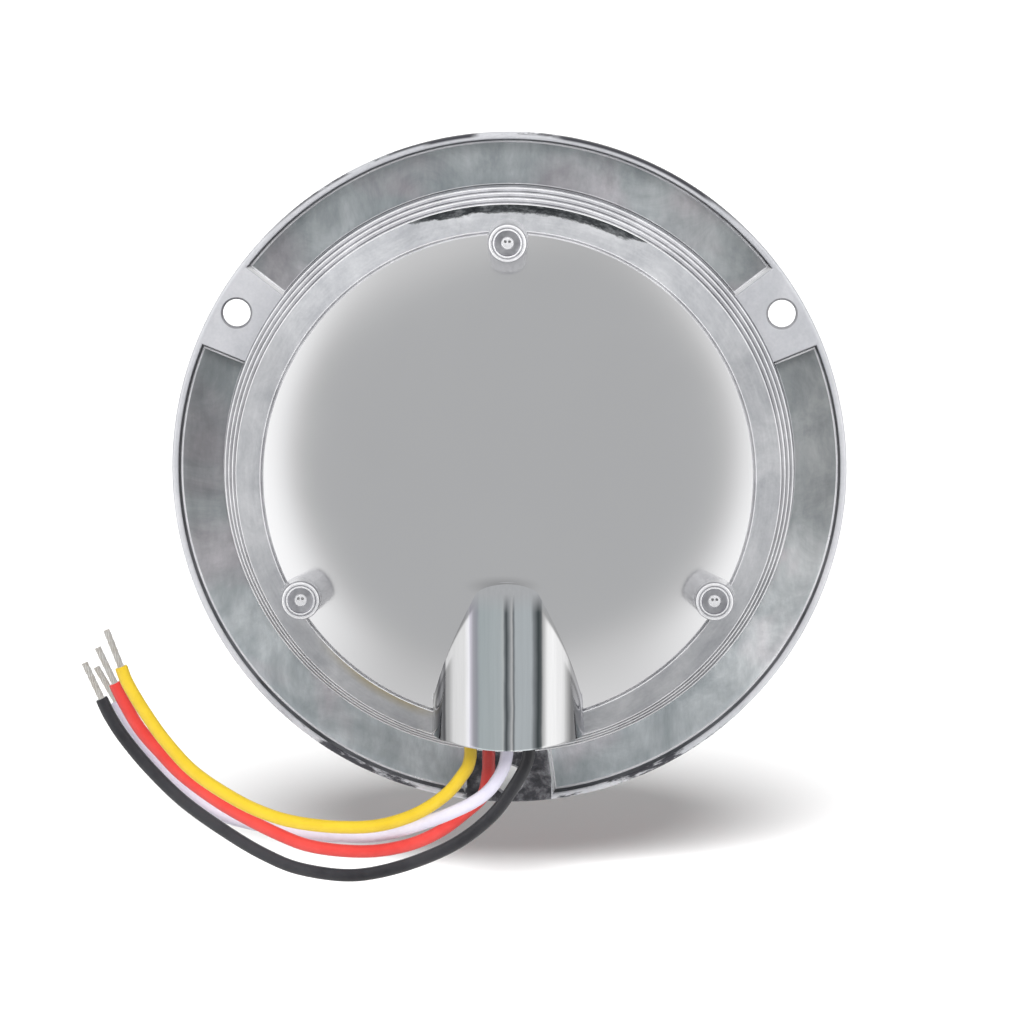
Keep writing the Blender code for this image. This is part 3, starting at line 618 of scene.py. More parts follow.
def rounded(corners, steps=4):
    """Points and zones of a profile of (r, h, fillet, zone) corners, each corner rounded.

    The zone belongs to the run after the corner and may be left out; a pair gives the
    rounded corner its own zone first.
    """
    points, zones = [], []
    for i, (r, h, fillet, *rest) in enumerate(corners):
        zone = rest[0] if rest else None
        arc, zone = zone if isinstance(zone, tuple) else (zone, zone)
        if fillet <= 0 or i in (0, len(corners) - 1):
            points.append((r, h))
            zones.append(zone)
            continue
        here = Vector((r, h))
        a = Vector(corners[i - 1][:2]) - here
        b = Vector(corners[i + 1][:2]) - here
        room = 0.46 * a.length, 0.46 * b.length
        a, b = a.normalized(), b.normalized()
        half = math.acos(max(-1.0, min(1.0, a.dot(b)))) / 2
        if half > math.radians(89):
            points.append((r, h))
            zones.append(zone)
            continue
        reach = min(fillet / math.tan(half), *room)
        radius = reach * math.tan(half)
        centre = here + (a + b).normalized() * (radius / math.sin(half))
        p0, p1 = here + a * reach - centre, here + b * reach - centre
        turn = math.atan2(p0.x * p1.y - p0.y * p1.x, p0.dot(p1))
        for k in range(steps + 1):
            angle = turn * k / steps
            c, s = math.cos(angle), math.sin(angle)
            points.append((centre.x + p0.x * c - p0.y * s, centre.y + p0.x * s + p0.y * c))
            zones.append(arc if k < steps else zone)
    return points, zones


def lathe(profile, zones=None, segs=ROUND, centre=(0.0, 0.0), phase=0.0, shape=None):
    """A part from an (r, h) profile spun round +Y.

    A profile with an end off the axis is closed on itself. shape(j, r, h, angle) may
    move each point.
    """
    closed = profile[0][0] > 1e-9 or profile[-1][0] > 1e-9
    verts, rings = [], []
    for j, (r, h) in enumerate(profile):
        if r <= 1e-9:
            rings.append([len(verts)])
            verts.append((centre[0], h, centre[1]))
            continue
        ring = []
        for i in range(segs):
            a = 2 * math.pi * i / segs + phase
            rr, hh = (r, h) if shape is None else shape(j, r, h, a)
            ring.append(len(verts))
            verts.append((centre[0] + rr * math.cos(a), hh, centre[1] + rr * math.sin(a)))
        rings.append(ring)
    faces, face_zones = [], []
    for j in range(len(profile) if closed else len(profile) - 1):
        a, b = rings[j], rings[(j + 1) % len(profile)]
        for i in range(segs):
            k = (i + 1) % segs
            if len(a) == 1:
                faces.append((a[0], b[i], b[k]))
            elif len(b) == 1:
                faces.append((a[i], b[0], a[k]))
            else:
                faces.append((a[i], b[i], b[k], a[k]))
            face_zones.append(zones[j] if zones else None)
    return verts, faces, face_zones


def join(*parts):
    verts, faces, zones = [], [], []
    for part_verts, part_faces, part_zones in parts:
        base = len(verts)
        verts += list(part_verts)
        faces += [tuple(i + base for i in face) for face in part_faces]
        zones += list(part_zones)
    return verts, faces, zones


def lathes_round(radius, degrees, profile, segs, phase, zones=None):
    """The same spun profile at several places on a circle round the lamp's axis."""
    return join(*[lathe(profile, zones, segs, polar(radius, deg), phase) for deg in degrees])


def at_bosses(*args, **kwargs):
    return lathes_round(BOSS_CIRCLE_R, BOSS_DEG, *args, **kwargs)


def rings_to_solid(rings, zone=None, bands=None):
    """Closed part through rings of equal count, with both ends capped.

    bands gives each run between rings its zone.
    """
    bands = bands or [zone] * (len(rings) - 1)
    n = len(rings[0])
    verts = [p for ring in rings for p in ring]
    faces, zones = [], []
    for j, band in enumerate(bands):
        for i in range(n):
            k = (i + 1) % n
            faces.append((j * n + i, j * n + k, (j + 1) * n + k, (j + 1) * n + i))
            zones.append(band)
    faces.append(tuple(range(n))[::-1])
    faces.append(tuple((len(rings) - 1) * n + i for i in range(n)))
    return verts, faces, zones + [zone, bands[-1]]


def extrude(section, *stations):
    """A part with an (x, h) section, run through stations along z."""
    return rings_to_solid([[(x, h, z) for x, h in section] for z in stations])


def new_object(name, data):
    ob = bpy.data.objects.new(name, data)
    bpy.context.scene.collection.objects.link(ob)
    return ob


def add(node, mesh, angle=38.0, location=(0, 0, 0), rotation=(0, 0, 0)):
    """Puts a finished mesh in the scene in place of the CAD node."""
    ob = new_object("v_" + node, mesh)
    mesh.shade_smooth()
    mesh.set_sharp_from_angle(angle=math.radians(angle))
    ob.location = location
    ob.rotation_euler = rotation
    mod = ob.modifiers.new("normals", "WEIGHTED_NORMAL")
    mod.mode = "FACE_AREA"
    mod.weight = 60
    mod.keep_sharp = True
    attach(ob, "root")
    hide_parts(node)
    return ob


def boolean(ob, mesh, operation="DIFFERENCE"):
    tool = new_object("tool", mesh)
    mod = ob.modifiers.new("cut", "BOOLEAN")
    mod.solver = "EXACT"
    mod.operation = operation
    mod.object = tool
    mod.material_mode = "TRANSFER"
    bpy.context.view_layer.update()
    evaluated = ob.evaluated_get(bpy.context.evaluated_depsgraph_get())
    result = bpy.data.meshes.new_from_object(evaluated)
    ob.modifiers.clear()
    ob.data = result
    bpy.data.objects.remove(tool)


def take_mesh(ob):
    """Removes a work object and returns its mesh with stray slivers dissolved."""
    mesh = ob.data
    bpy.data.objects.remove(ob)
    bm = bmesh.new()
    bm.from_mesh(mesh)
    bmesh.ops.remove_doubles(bm, verts=bm.verts, dist=2e-6)
    bmesh.ops.dissolve_degenerate(bm, edges=bm.edges, dist=2e-6)
    bm.to_mesh(mesh)
    bm.free()
    mesh.update()
    return mesh


def curve_path(points, per_span=9):
    """Points along a Catmull-Rom curve through the given points."""
    p = [np.array(q, float) for q in points]
    p = [2 * p[0] - p[1]] + p + [2 * p[-1] - p[-2]]
    out = []
    for i in range(1, len(p) - 2):
        a, b, c, d = p[i - 1 : i + 3]
        for k in range(per_span):
            t = k / per_span
            square = (2 * a - 5 * b + 4 * c - d) * t**2
            cube = (3 * b - a - 3 * c + d) * t**3
            out.append(0.5 * (2 * b + (c - a) * t + square + cube))
    out.append(p[-2])
    return np.array(out)


def side_vectors(path):
    """Two side vectors at each point of a path, carried without twist."""
    tangents = np.gradient(path, axis=0)
    tangents /= np.linalg.norm(tangents, axis=1)[:, None]
    start = tangents[0]
    side = np.cross(start, (0.0, 0.0, 1.0) if abs(start[2]) < 0.9 else (1.0, 0.0, 0.0))
    side /= np.linalg.norm(side)
    sides, ups = [], []
    for tangent in tangents:
        side = side - tangent * (side @ tangent)
        side /= np.linalg.norm(side)
        sides.append(side)
        ups.append(np.cross(tangent, side))
    return sides, ups


def tube(path, radii, segs):
    rings = []
    for centre, radius, side, up in zip(path, radii, *side_vectors(path)):
        angles = [2 * math.pi * i / segs for i in range(segs)]
        rings.append(
            [tuple(centre + radius * (math.cos(a) * side + math.sin(a) * up)) for a in angles]
        )
    return rings_to_solid(rings)


# ------------------------------------------------------------------ tunnel
NOSE_R = 3.2  # rounding of the tunnel's start
FILLET = 0.62
SINK = 0.04  # how far the tunnel's skirt lies under the housing's surface
SLOPE_STEP = 0.04
LIP_R = 0.5  # rounding of the tunnel's mouth
# x of the skirt beside the tunnel's arc
SKIRT_X = np.array([15.52, 15.58, 15.66, 15.76, 15.9, 16.1, 16.35, 16.7, 17.2, 17.9, 18.6])


def outer_height(r):
    """The housing's height beside the tunnel, at radius r."""
    edge_r = [DOME_EDGE_R, 50.45, 50.65, 50.9, 56.2, 60.0]
    edge_h = [dome_h(DOME_EDGE_R), GROOVE_H, GROOVE_H, 14.45, 10.75, 7.9]
    return np.where(r < DOME_EDGE_R, dome_h(r), np.interp(r, edge_r, edge_h))


def ridge_height(x, z):
    """The tunnel's own height: a cylinder along z with a rounded, blunt start."""
    begin = TUNNEL_START + 1.7
    u = np.clip((z - (begin - NOSE_R)) / NOSE_R, 0.0, 1.0)
    radius = TUNNEL_R - NOSE_R * (1 - np.sqrt(1 - u * u))
    wall = radius * math.sin(math.radians(86.0))
    arc = np.sqrt(np.maximum(radius**2 - np.minimum(np.abs(x), wall) ** 2, 0.0))
    beside = 14.3 * np.maximum(np.abs(x) - wall, 0.0)
    return TUNNEL_AXIS_H + arc - beside - 14.0 * np.maximum(z - begin, 0.0)


def filleted_height(x, z):
    """Tunnel and housing joined by a fillet, sunk just under the housing away from it."""
    d = SLOPE_STEP

    def gap(p, q):
        return ridge_height(p, q) - outer_height(np.hypot(p, q))

    slope_x = (gap(x + d, z) - gap(x - d, z)) / (2 * d)
    slope_z = (gap(x, z + d) - gap(x, z - d)) / (2 * d)
    reach = np.clip(np.hypot(slope_x, slope_z), 0.25, 6.0) * FILLET
    ground = outer_height(np.hypot(x, z)) - SINK
    ridge = ridge_height(x, z)
    blend = np.maximum(reach - np.abs(ground - ridge), 0.0) / reach
    return np.maximum(ground, ridge) + blend * blend * reach / 4


def tunnel_part():
    base_h = 4.0
    arc = TUNNEL_R * np.sin(np.radians(np.linspace(-86.0, 86.0, 131)))
    xs = np.concatenate((-SKIRT_X[::-1], arc, SKIRT_X))
    crown = TUNNEL_AXIS_H + np.sqrt(np.maximum(TUNNEL_R**2 - xs**2, 0.0))
    # The mouth follows the housing's round and leans in with height.
    trim = TUNNEL_TRIM_R + 0.3 - 0.084 * (np.maximum(crown, 11.0) - 10.0)
    end = -np.sqrt(trim**2 - xs**2)

    stations = [np.full_like(xs, z) for z in np.linspace(-17.4, -27.0, 39)]
    near = stations[-1]
    stations += [near + (end + LIP_R - near) * t for t in np.linspace(0.0, 1.0, 62)[1:]]
    rows = [np.stack((xs, filleted_height(xs, z), z), 1) for z in stations]
    top = rows[-1][:, 1]
    for k in range(1, 7):
        q = math.radians(90.0 * k / 6)
        drop, out = LIP_R * (1 - math.cos(q)), LIP_R * (1 - math.sin(q))
        rows.append(np.stack((xs, top - drop, end + out), 1))
    first, last = rows[0].copy(), rows[-1].copy()
    first[:, 1] = base_h
    last[:, 1] = base_h
    rows = [first] + rows + [last]

    n, m = len(xs), len(rows)
    verts = [tuple(p) for row in rows for p in row]
    faces = [
        (j * n + i, j * n + i + 1, (j + 1) * n + i + 1, (j + 1) * n + i)
        for j in range(m - 1)
        for i in range(n - 1)
    ]
    faces.append(tuple(j * n for j in range(m)))
    faces.append(tuple(j * n + n - 1 for j in range(m))[::-1])
    # The underside joins the first and last rows.
    faces += [((m - 1) * n + i, (m - 1) * n + i + 1, i + 1, i) for i in range(n - 1)]
    return verts, faces, [None] * len(faces)


# ------------------------------------------------------------------ housing
HOUSING_MATS = (
    "bezel", "rim", "steps", "band", "dome", "inside",
    "tunnel", "boss", "pocket", "edge", "crease", "groove",
)
# Outer rounds take the edge material as painted highlight; inner rounds the crease material as
# painted shade.
OUT, CREASE = ("edge", "steps"), ("crease", "steps")
# Housing from the bezel's front to the dome's edge: r, h, fillet, zone.
HOUSING_CORNERS = [
    (0.0, BEZEL_H, 0, "bezel"),
    (58.6, BEZEL_H, 0.5, "bezel"),
    (60.0, -7.65, 1.5, "bezel"),
    (64.0, -6.5, 8.0, "bezel"),
    (67.6, -5.3, 6.0, "bezel"),
    (69.5, -4.4, 1.5, "bezel"),
    (FLANGE_R, -3.3, 1.5, "rim"),
    (FLANGE_R, 0.0, 0.9, "rim"),
    (58.9, 0.0, 0.22, CREASE),
    (58.9, 3.0, 0.26, OUT),
    (58.0, 3.0, 0.2, CREASE),
    (58.0, 5.6, 0.26, OUT),
    (57.1, 5.6, 0.2, CREASE),
    (57.1, 8.2, 0.26, OUT),
    (56.2, 8.2, 0.2, CREASE),
    (56.2, 10.75, 0.45, ("edge", "band")),
    (50.9, 14.45, 0.12, ("edge", "groove")),
    (50.65, GROOVE_H, 0.05, "groove"),
    (50.45, GROOVE_H, 0.05, ("groove", "edge")),
    (DOME_EDGE_R, dome_h(DOME_EDGE_R), 0.16, "dome"),
]
# Boss with a ring groove and a dished top: r, h, fillet, zone.
# The edge zones are painted highlight; the bore and boss_dark zones painted shade.
BOSS_CORNERS = [
    (0, 11.0, 0, "boss"),
    (4.5, 11.0, 0, "boss"),
    (4.4, 13.0, 0, "boss"),
    (3.98, 20.9, 0.2, "bore"),
    (3.8, 21.4, 0.15, "edge"),
    (3.6, BOSS_TOP_H, 0.1, ("edge", "boss")),
    (3.25, BOSS_TOP_H, 0.05, "bore"),
    (3.12, 21.45, 0.03, "bore"),
    (2.98, 21.45, 0.03, "edge"),
    (2.85, BOSS_TOP_H, 0.05, "edge"),
    (2.68, BOSS_TOP_H, 0.1, ("edge", "boss_dark")),
    (2.45, 21.0, 0.12, "boss_dark"),
    (1.35, 20.98, 0.12, ("boss_dark", "boss")),
    (1.1, 21.3, 0.15, ("edge", "boss")),
    (0.0, 21.4, 0, "boss"),
]
# Bolt hole with a counterbore in front and a broken edge at the seat: r, h.
BOLT_PROFILE = [
    (0, -12), (3.95, -12), (3.8, -6.75), (3.7, -5.9), (3.7, -1.7), (3.0, -1.35),
    (BOLT_HOLE_R, -1.2), (BOLT_HOLE_R, -0.45), (BOLT_HOLE_R + 0.16, -0.2),
    (BOLT_HOLE_R + 0.46, 0.02), (BOLT_HOLE_R + 1.1, 0.6), (0, 0.6),
]
# Pocket wall from the floor up: h, growth of the outline beyond its nominal line.
POCKET_LAYERS = [
    (-POCKET_DEPTH, -0.72), (-2.47, -0.6), (-2.38, -0.45), (-2.2, -0.33), (-0.3, 0.1),
    (-0.12, 0.17), (-0.02, 0.3), (0.05, 0.42), (0.6, 1.0),
]
# The foot is a painted highlight; the wall is painted shade with painted light on its ends.
POCKET_BANDS = ["foot"] * 3 + ["wall"] + ["rim"] * 4


def housing_shell():
    dome = [(r, dome_h(r), 0, "dome") for r in [49.5 - 0.9 * k for k in range(44)]]
    flat = [(r, BACK_H, 0, "dome") for r in (6.0, 3.0, 0.0)]
    shell = lathe(*rounded(HOUSING_CORNERS + dome + flat))
    return new_object("housing_body", build_mesh("housing_body", shell, *HOUSING_MATS))


def boss_mesh():
    """The three bosses, each with two small pits in its top."""
    profile, zones = rounded(BOSS_CORNERS, steps=3)
    part = at_bosses(profile, 48, 0.013, zones=zones)
    mesh = build_mesh("bosses", part, "boss", "edge", "boss_dark", "bore")
    bosses = new_object("bosses", mesh)
    pit = [(0, 20.6), (0.24, 20.6), (0.34, 21.9), (0, 21.9)]
    pits = []
    for deg in BOSS_DEG:
        x, z = polar(BOSS_CIRCLE_R, deg)
        for dx in (-0.43, 0.43):
            pits.append(lathe(pit, segs=14, centre=(x + dx, z + 0.4), phase=0.05))
    # The pits take the pocket-wall material, with its painted shade and light.
    boolean(bosses, build_mesh("pits", join(*pits), "wall"))
    mesh = bosses.data
    bpy.data.objects.remove(bosses)
    return mesh


def cavity_part():
    profile = [(0, -20.0), (RECESS_R, -20.0), (RECESS_R, LEDGE_H), (CUP_IN_R, LEDGE_H)]
    profile += [(CUP_IN_R, 9.0), (48.8, 12.3)]
    radii = (46.0, 43.0, 39.0, 35.0, 30.0, 25.0, 20.0, 15.0, 10.0)
    profile += [(r, dome_h(r) - WALL) for r in radii] + [(0, BACK_H - WALL)]
    return lathe(profile, segs=144, phase=0.004)


def tunnel_bore_part():
    """The tunnel's inside: a half circle over a flat floor."""
    floor_x = TUNNEL_IN_R * math.cos(0.033)
    section = [(floor_x, TUNNEL_FLOOR_H)]
    for i in range(1, 60):
        a = math.radians(3.0 * i)
        section.append((TUNNEL_IN_R * math.cos(a), TUNNEL_AXIS_H + TUNNEL_IN_R * math.sin(a)))
    section.append((-floor_x, TUNNEL_FLOOR_H))
    return extrude(section, -20.0, -66.0)


def pocket_part(start):
    """A pocket from one pad to the next, with leaning walls and a broken top edge."""
    rings = []
    for h, grow in POCKET_LAYERS:
        ring = []
        inner_r = POCKET_R[0] - 0.3 * min(grow, 0.3)
        for r, way in ((POCKET_R[1] + grow, 1), (inner_r, -1)):
            edge = PAD_HALF_DEG - math.degrees(grow / r)
            angles = [start + edge + (PAD_PITCH - 2 * edge) * j / 90 for j in range(91)]
            for deg in angles[::way]:
                x, z = polar(r, deg)
                ring.append((x, h, z))
        rings.append(ring)
    return rings_to_solid(rings, bands=POCKET_BANDS)


def housing():
    ob = housing_shell()
    boolean(ob, build_mesh("tunnel", tunnel_part(), "tunnel"), "UNION")
    boolean(ob, boss_mesh(), "UNION")
    boolean(ob, build_mesh("cavity", cavity_part(), "inside"))
    boolean(ob, build_mesh("bore", tunnel_bore_part(), "inside"))

    columns = at_bosses([(0, 3.0), (4.2, 3.0), (3.4, 15.7), (0, 15.7)], 32, 0.021)
    boolean(ob, build_mesh("columns", columns, "inside"), "UNION")
    holes = at_bosses([(0, 0), (2.0, 0), (2.0, 18.4), (0, 19.3)], 24, 0.017)
    boolean(ob, build_mesh("holes", holes, "inside"))

    bolts = lathes_round(BOLT_R, PAD_DEG, BOLT_PROFILE, 48, 0.011)
    # The bolt holes take the bore material, painted dark as shade.
    boolean(ob, build_mesh("bolts", bolts, "bore"))
    pockets = join(*[pocket_part(deg) for deg in PAD_DEG])
    boolean(ob, build_mesh("pockets", pockets, "pocket", "foot", "wall", "rim"))
    add("housing", take_mesh(ob), angle=32.0)


# ------------------------------------------------------------------ lenses
OUTER_FACE_H = -14.75
OUTER_PILLOW = 2.4  # spacing of the optics inside the outer lens
CENTRE_FACE_H = -17.1
CENTRE_INNER_H = -11.5
CENTRE_PILLOW = 2.6


def outer_lens():
    corners = [
        (56.4, -1.1, 0.2),
        (56.4, -11.4, 2.0),
        (55.6, -13.2, 2.0),
        (53.8, -14.25, 2.0),
        (52.2, -14.55, 0.0),
        (51.9, OUTER_FACE_H, 0.0),
    ]
    # Shallow flutes run round the face.
    r = 51.6
    while r > 23.6:
        base = OUTER_FACE_H - (51.9 - r) * 0.045
        corners += [(r, base, 0), (r - 0.75, base - 0.16, 0), (r - 1.5, base, 0)]
        r -= 1.9
    corners += [
        (22.4, -16.0, 0.0),
        (21.2, -16.1, 0.4),
        (20.6, -15.8, 0.1),
        (20.6, -13.5, 0.1),
        (18.6, -13.5, 0.1),
        (18.6, -12.6, 0.1),
    ]
    corners += [(19.2 + 0.6 * k, -13.15, 0, "optics") for k in range(53)]
    corners += [(51.6, -11.9, 0.5), (53.4, -9.8, 0.8), (53.4, -1.1, 0.2)]
    profile, zones = rounded(corners)

    def optics(j, r, h, a):
        """Pillow optics on the inside, about as wide as they are long."""
        if zones[j] != "optics" or not 19.4 < r < 50.6:
            return r, h
        count = 36 * max(1, round(2 * math.pi * r / OUTER_PILLOW / 36))
        radial = abs(math.sin(math.pi * r / OUTER_PILLOW))
        return r, h + 0.28 * radial * abs(math.sin(count * a / 2)) ** 0.8

    mesh = build_mesh("lens", lathe(profile, segs=360, shape=optics), "red_lens")
    ob = new_object("lens_body", mesh)
    posts = at_bosses([(0, -13.6), (5.2, -13.6), (5.2, -5.3), (0, -5.3)], 40, 0.013)
    boolean(ob, build_mesh("posts", posts, "red_lens"), "UNION")
    screw_way = [
        (0, -20), (5.3, -20), (4.15, -14.95), (3.95, -14.6), (3.9, -14.2),
        (3.9, -11.6), (2.1, -11.6), (2.1, -2), (0, -2),
    ]
    boolean(ob, build_mesh("ways", at_bosses(screw_way, 40, 0.013), "red_lens"))
    add("lens_outer", take_mesh(ob), angle=50.0)


def centre_lens():
    corners = [(0, CENTRE_FACE_H, 0)]
    # Ring flutes on a slightly dished face.
    r = 1.6
    while r < 18.2:
        base = CENTRE_FACE_H + 0.0022 * r * r
        corners += [(r - 0.55, base, 0), (r, base + 0.12, 0), (r + 0.55, base, 0)]
        r += 1.7
    corners += [
        (19.2, -16.3, 0.6),
        (20.3, -15.6, 0.5),
        (20.3, -13.8, 0.1),
        (18.3, -13.8, 0.1),
        (18.3, CENTRE_INNER_H, 0.2),
    ]
    corners += [(17.4 - 0.55 * k, CENTRE_INNER_H, 0, "optics") for k in range(31)]
    corners.append((0, CENTRE_INNER_H, 0, "optics"))
    profile, zones = rounded(corners)

    def optics(j, r, h, a):
        if zones[j] != "optics" or r > 17.0:
            return r, h
        across = abs(math.sin(math.pi * (r * math.cos(a)) / CENTRE_PILLOW))
        return r, h - 0.3 * across * abs(math.sin(math.pi * (r * math.sin(a)) / CENTRE_PILLOW))

    mesh = build_mesh("lens_center", lathe(profile, segs=144, shape=optics), "clear_lens")
    add("lens_center", mesh, angle=50.0)


def seal(node, radii, heights, centre=(0, 0), segs=180):
    """A ring of squared-off oval section with a slightly lobed outline."""
    (r0, r1), (h0, h1) = radii, heights
    count = 28
    points = []
    for k in range(count):
        a = 2 * math.pi * k / count
        c, s = math.cos(a), math.sin(a)
        r = (r0 + r1) / 2 + (r1 - r0) / 2 * math.copysign(abs(c) ** 0.6, c)
        lobes = 1 - 0.12 * math.cos(6 * a)
        h = (h0 + h1) / 2 + (h1 - h0) / 2 * math.copysign(abs(s) ** 0.6, s) * lobes
        points.append((r, max(h0, min(h1, h))))
    mesh = build_mesh("v_" + node, lathe(points, segs=segs, centre=centre), "rubber")
    add(node, mesh, angle=60.0)


# ------------------------------------------------------------------ light engine
# LED colour, count, radius of their circle and angle of the first one.
LED_CIRCLES = (("red", 12, 33.0, 15.0), ("white", 4, 8.6, 45.0))
CUP_RADII = {"red": (4.8, 7.5), "white": (4.75, 5.35)}  # at the LED and at the mouth


def led_places():
    """(node, colour, place, angle in degrees) of each LED."""
    out = []
    for colour, count, radius, first in LED_CIRCLES:
        for i in range(count):
            deg = first + 360.0 / count * i
            out.append((f"led_{colour}_{i + 1:02d}", colour, polar(radius, deg), deg))
    return out


def reflector():
    """A disc with a raised ring round its middle and a flared cup for each LED."""
    lo, hi = REFLECTOR_H
    corners = [
        (0, hi, 0),
        (REFLECTOR_R, hi, 0.3),
        (REFLECTOR_R, lo, 0.5),
        (50.6, lo, 0.2),
        (50.2, lo + 0.5, 0.2),
        (46.4, lo + 0.5, 0.2),
        (46.0, lo, 0.2),
        (18.9, lo, 0.4),
        (18.4, -11.2, 0.3),
        (17.2, -11.2, 0.3),
        (16.8, lo, 0.4),
        (0, lo, 0),
    ]
    profile, _ = rounded(corners)
    ob = new_object("refl", build_mesh("refl", lathe(profile, segs=144), "reflector"))
    cups = []
    for _, colour, place, deg in led_places():
        r0, r1 = CUP_RADII[colour]
        points = [(0, hi + 1), (r0 - 0.1, hi + 1)]
        for k in range(9):
            points.append((r0 + (r1 - r0) * (k / 8) ** 0.6, hi - 0.4 + (lo - hi + 0.4) * k / 8))
        points += [(r1 + 0.35, lo - 0.25), (r1 + 0.7, lo - 0.9), (0, lo - 0.9)]
        cups.append(lathe(points, segs=40, centre=place, phase=math.radians(deg) + 0.02))
    holes = at_bosses([(0, -8), (2.2, -8), (2.2, 3), (0, 3)], 24, 0.04)
    boolean(ob, build_mesh("cups", join(*cups, holes), "reflector"))
    add("reflector", take_mesh(ob), angle=40.0)


def led(node, colour, place, deg):
    """A square package with cut corners, four bright legs and a round emitter dome."""
    emitter = "led_" + colour
    cut = 0.7
    base = []
    for h, grow in ((0.8, -0.15), (0.65, 0.0), (-1.0, 0.0), (-1.2, -0.2)):
        s = 3.0 + grow
        e = s - cut
        outline = [(s, e), (e, s), (-e, s), (-s, e), (-s, -e), (-e, -s), (e, -s), (s, -e)]
        base.append([(x, h, z) for x, z in outline])
    dome = [(0, -1.15), (2.55, -1.15), (2.55, -1.35)]
    for q in range(0, 90, 10):
        a = math.radians(q)
        dome.append((2.4 * math.cos(a), -1.4 - 2.2 * math.sin(a)))
    dome.append((0, -3.6))
    parts = [rings_to_solid(base), lathe(dome, [emitter] * len(dome), segs=28)]

    section = ((-0.1, -0.45), (0.1, -0.45), (0.1, 0.45), (-0.1, 0.45))
    stations = ((-0.3, -0.2), (0.12, -0.2), (0.12, 0.7))  # x beyond the package's side, h
    for side_x, side_z in ((1, 1), (1, -1), (-1, 1), (-1, -1)):
        leg = [
            [(side_x * (3.0 + out) + dx, h, side_z * 1.5 + dz) for dx, dz in section]
            for out, h in stations
        ]
        parts.append(rings_to_solid(leg, "tinned"))
    mesh = build_mesh(node, join(*parts), "led_body", emitter, "tinned")
    location = (place[0] * MM, 0, place[1] * MM)
    add(node, mesh, location=location, rotation=(0, math.radians(deg), 0))


# ------------------------------------------------------------------ fasteners
# Pan head and plain shank: r, h, fillet.
SCREW_CORNERS = [
    (0, -15.0, 0), (1.6, -14.97, 0.5), (2.7, -14.7, 0.8), (3.25, -14.0, 0.4),
    (3.3, -13.0, 0.1), (1.75, -13.0, 0.1), (1.55, -12.6, 0), (1.55, -2.0, 0), (0, -2.0, 0),
]
# Blade of the cross recess: h, half length, half width.
RECESS = ((-15.4, 1.95, 0.46), (-14.4, 1.55, 0.36), (-13.75, 0.7, 0.26))
THREAD_SEGS = 20
THREAD_PITCH = 1.1
THREAD_H = (-2.2, 17.5)
THREAD_CORE_R = 1.35
THREAD_RISE = 0.34
POINT_L = 2.0


def thread_part():
    lo, hi = THREAD_H
    rows = int((hi - lo) / (THREAD_PITCH / 8))
    rings = []
    for j in range(rows + 1):
        h = lo + (hi - lo) * j / rows
        taper = 1.0 if h < hi - POINT_L else 1.0 - 0.55 * (h - hi + POINT_L) / POINT_L
        ring = []
        for i in range(THREAD_SEGS):
            a = 2 * math.pi * i / THREAD_SEGS
            turn = (h / THREAD_PITCH + i / THREAD_SEGS) % 1.0
            crest = max(0.0, 1 - abs(turn - 0.5) * 3.2)
            r = (THREAD_CORE_R + THREAD_RISE * crest) * taper
            ring.append((r * math.cos(a), h, r * math.sin(a)))
        rings.append(ring)
    return rings_to_solid(rings)


def screw(side, place):
    """Pan head with a cross recess, and a shank with a real helical thread."""
    profile, _ = rounded(SCREW_CORNERS)
    mesh = build_mesh("screw_body", lathe(profile, segs=40), "screw")
    ob = new_object("screw_body", mesh)
    for q in (0.0, 90.0):
        c, s = math.cos(math.radians(q)), math.sin(math.radians(q))
        rings = []
        for h, length, width in RECESS:
            section = ((length, width), (-length, width), (-length, -width), (length, -width))
            rings.append([(x * c - z * s, h, x * s + z * c) for x, z in section])
        boolean(ob, build_mesh("blade", rings_to_solid(rings), "screw"))
    body = take_mesh(ob)
    thread = build_mesh("thread", thread_part(), "screw")
    bm = bmesh.new()
    bm.from_mesh(body)
    bm.from_mesh(thread)
    bm.to_mesh(body)
    bm.free()
    location = (place[0] * MM, 0, place[1] * MM)
    add("screw_" + side, body, angle=40.0, location=location)


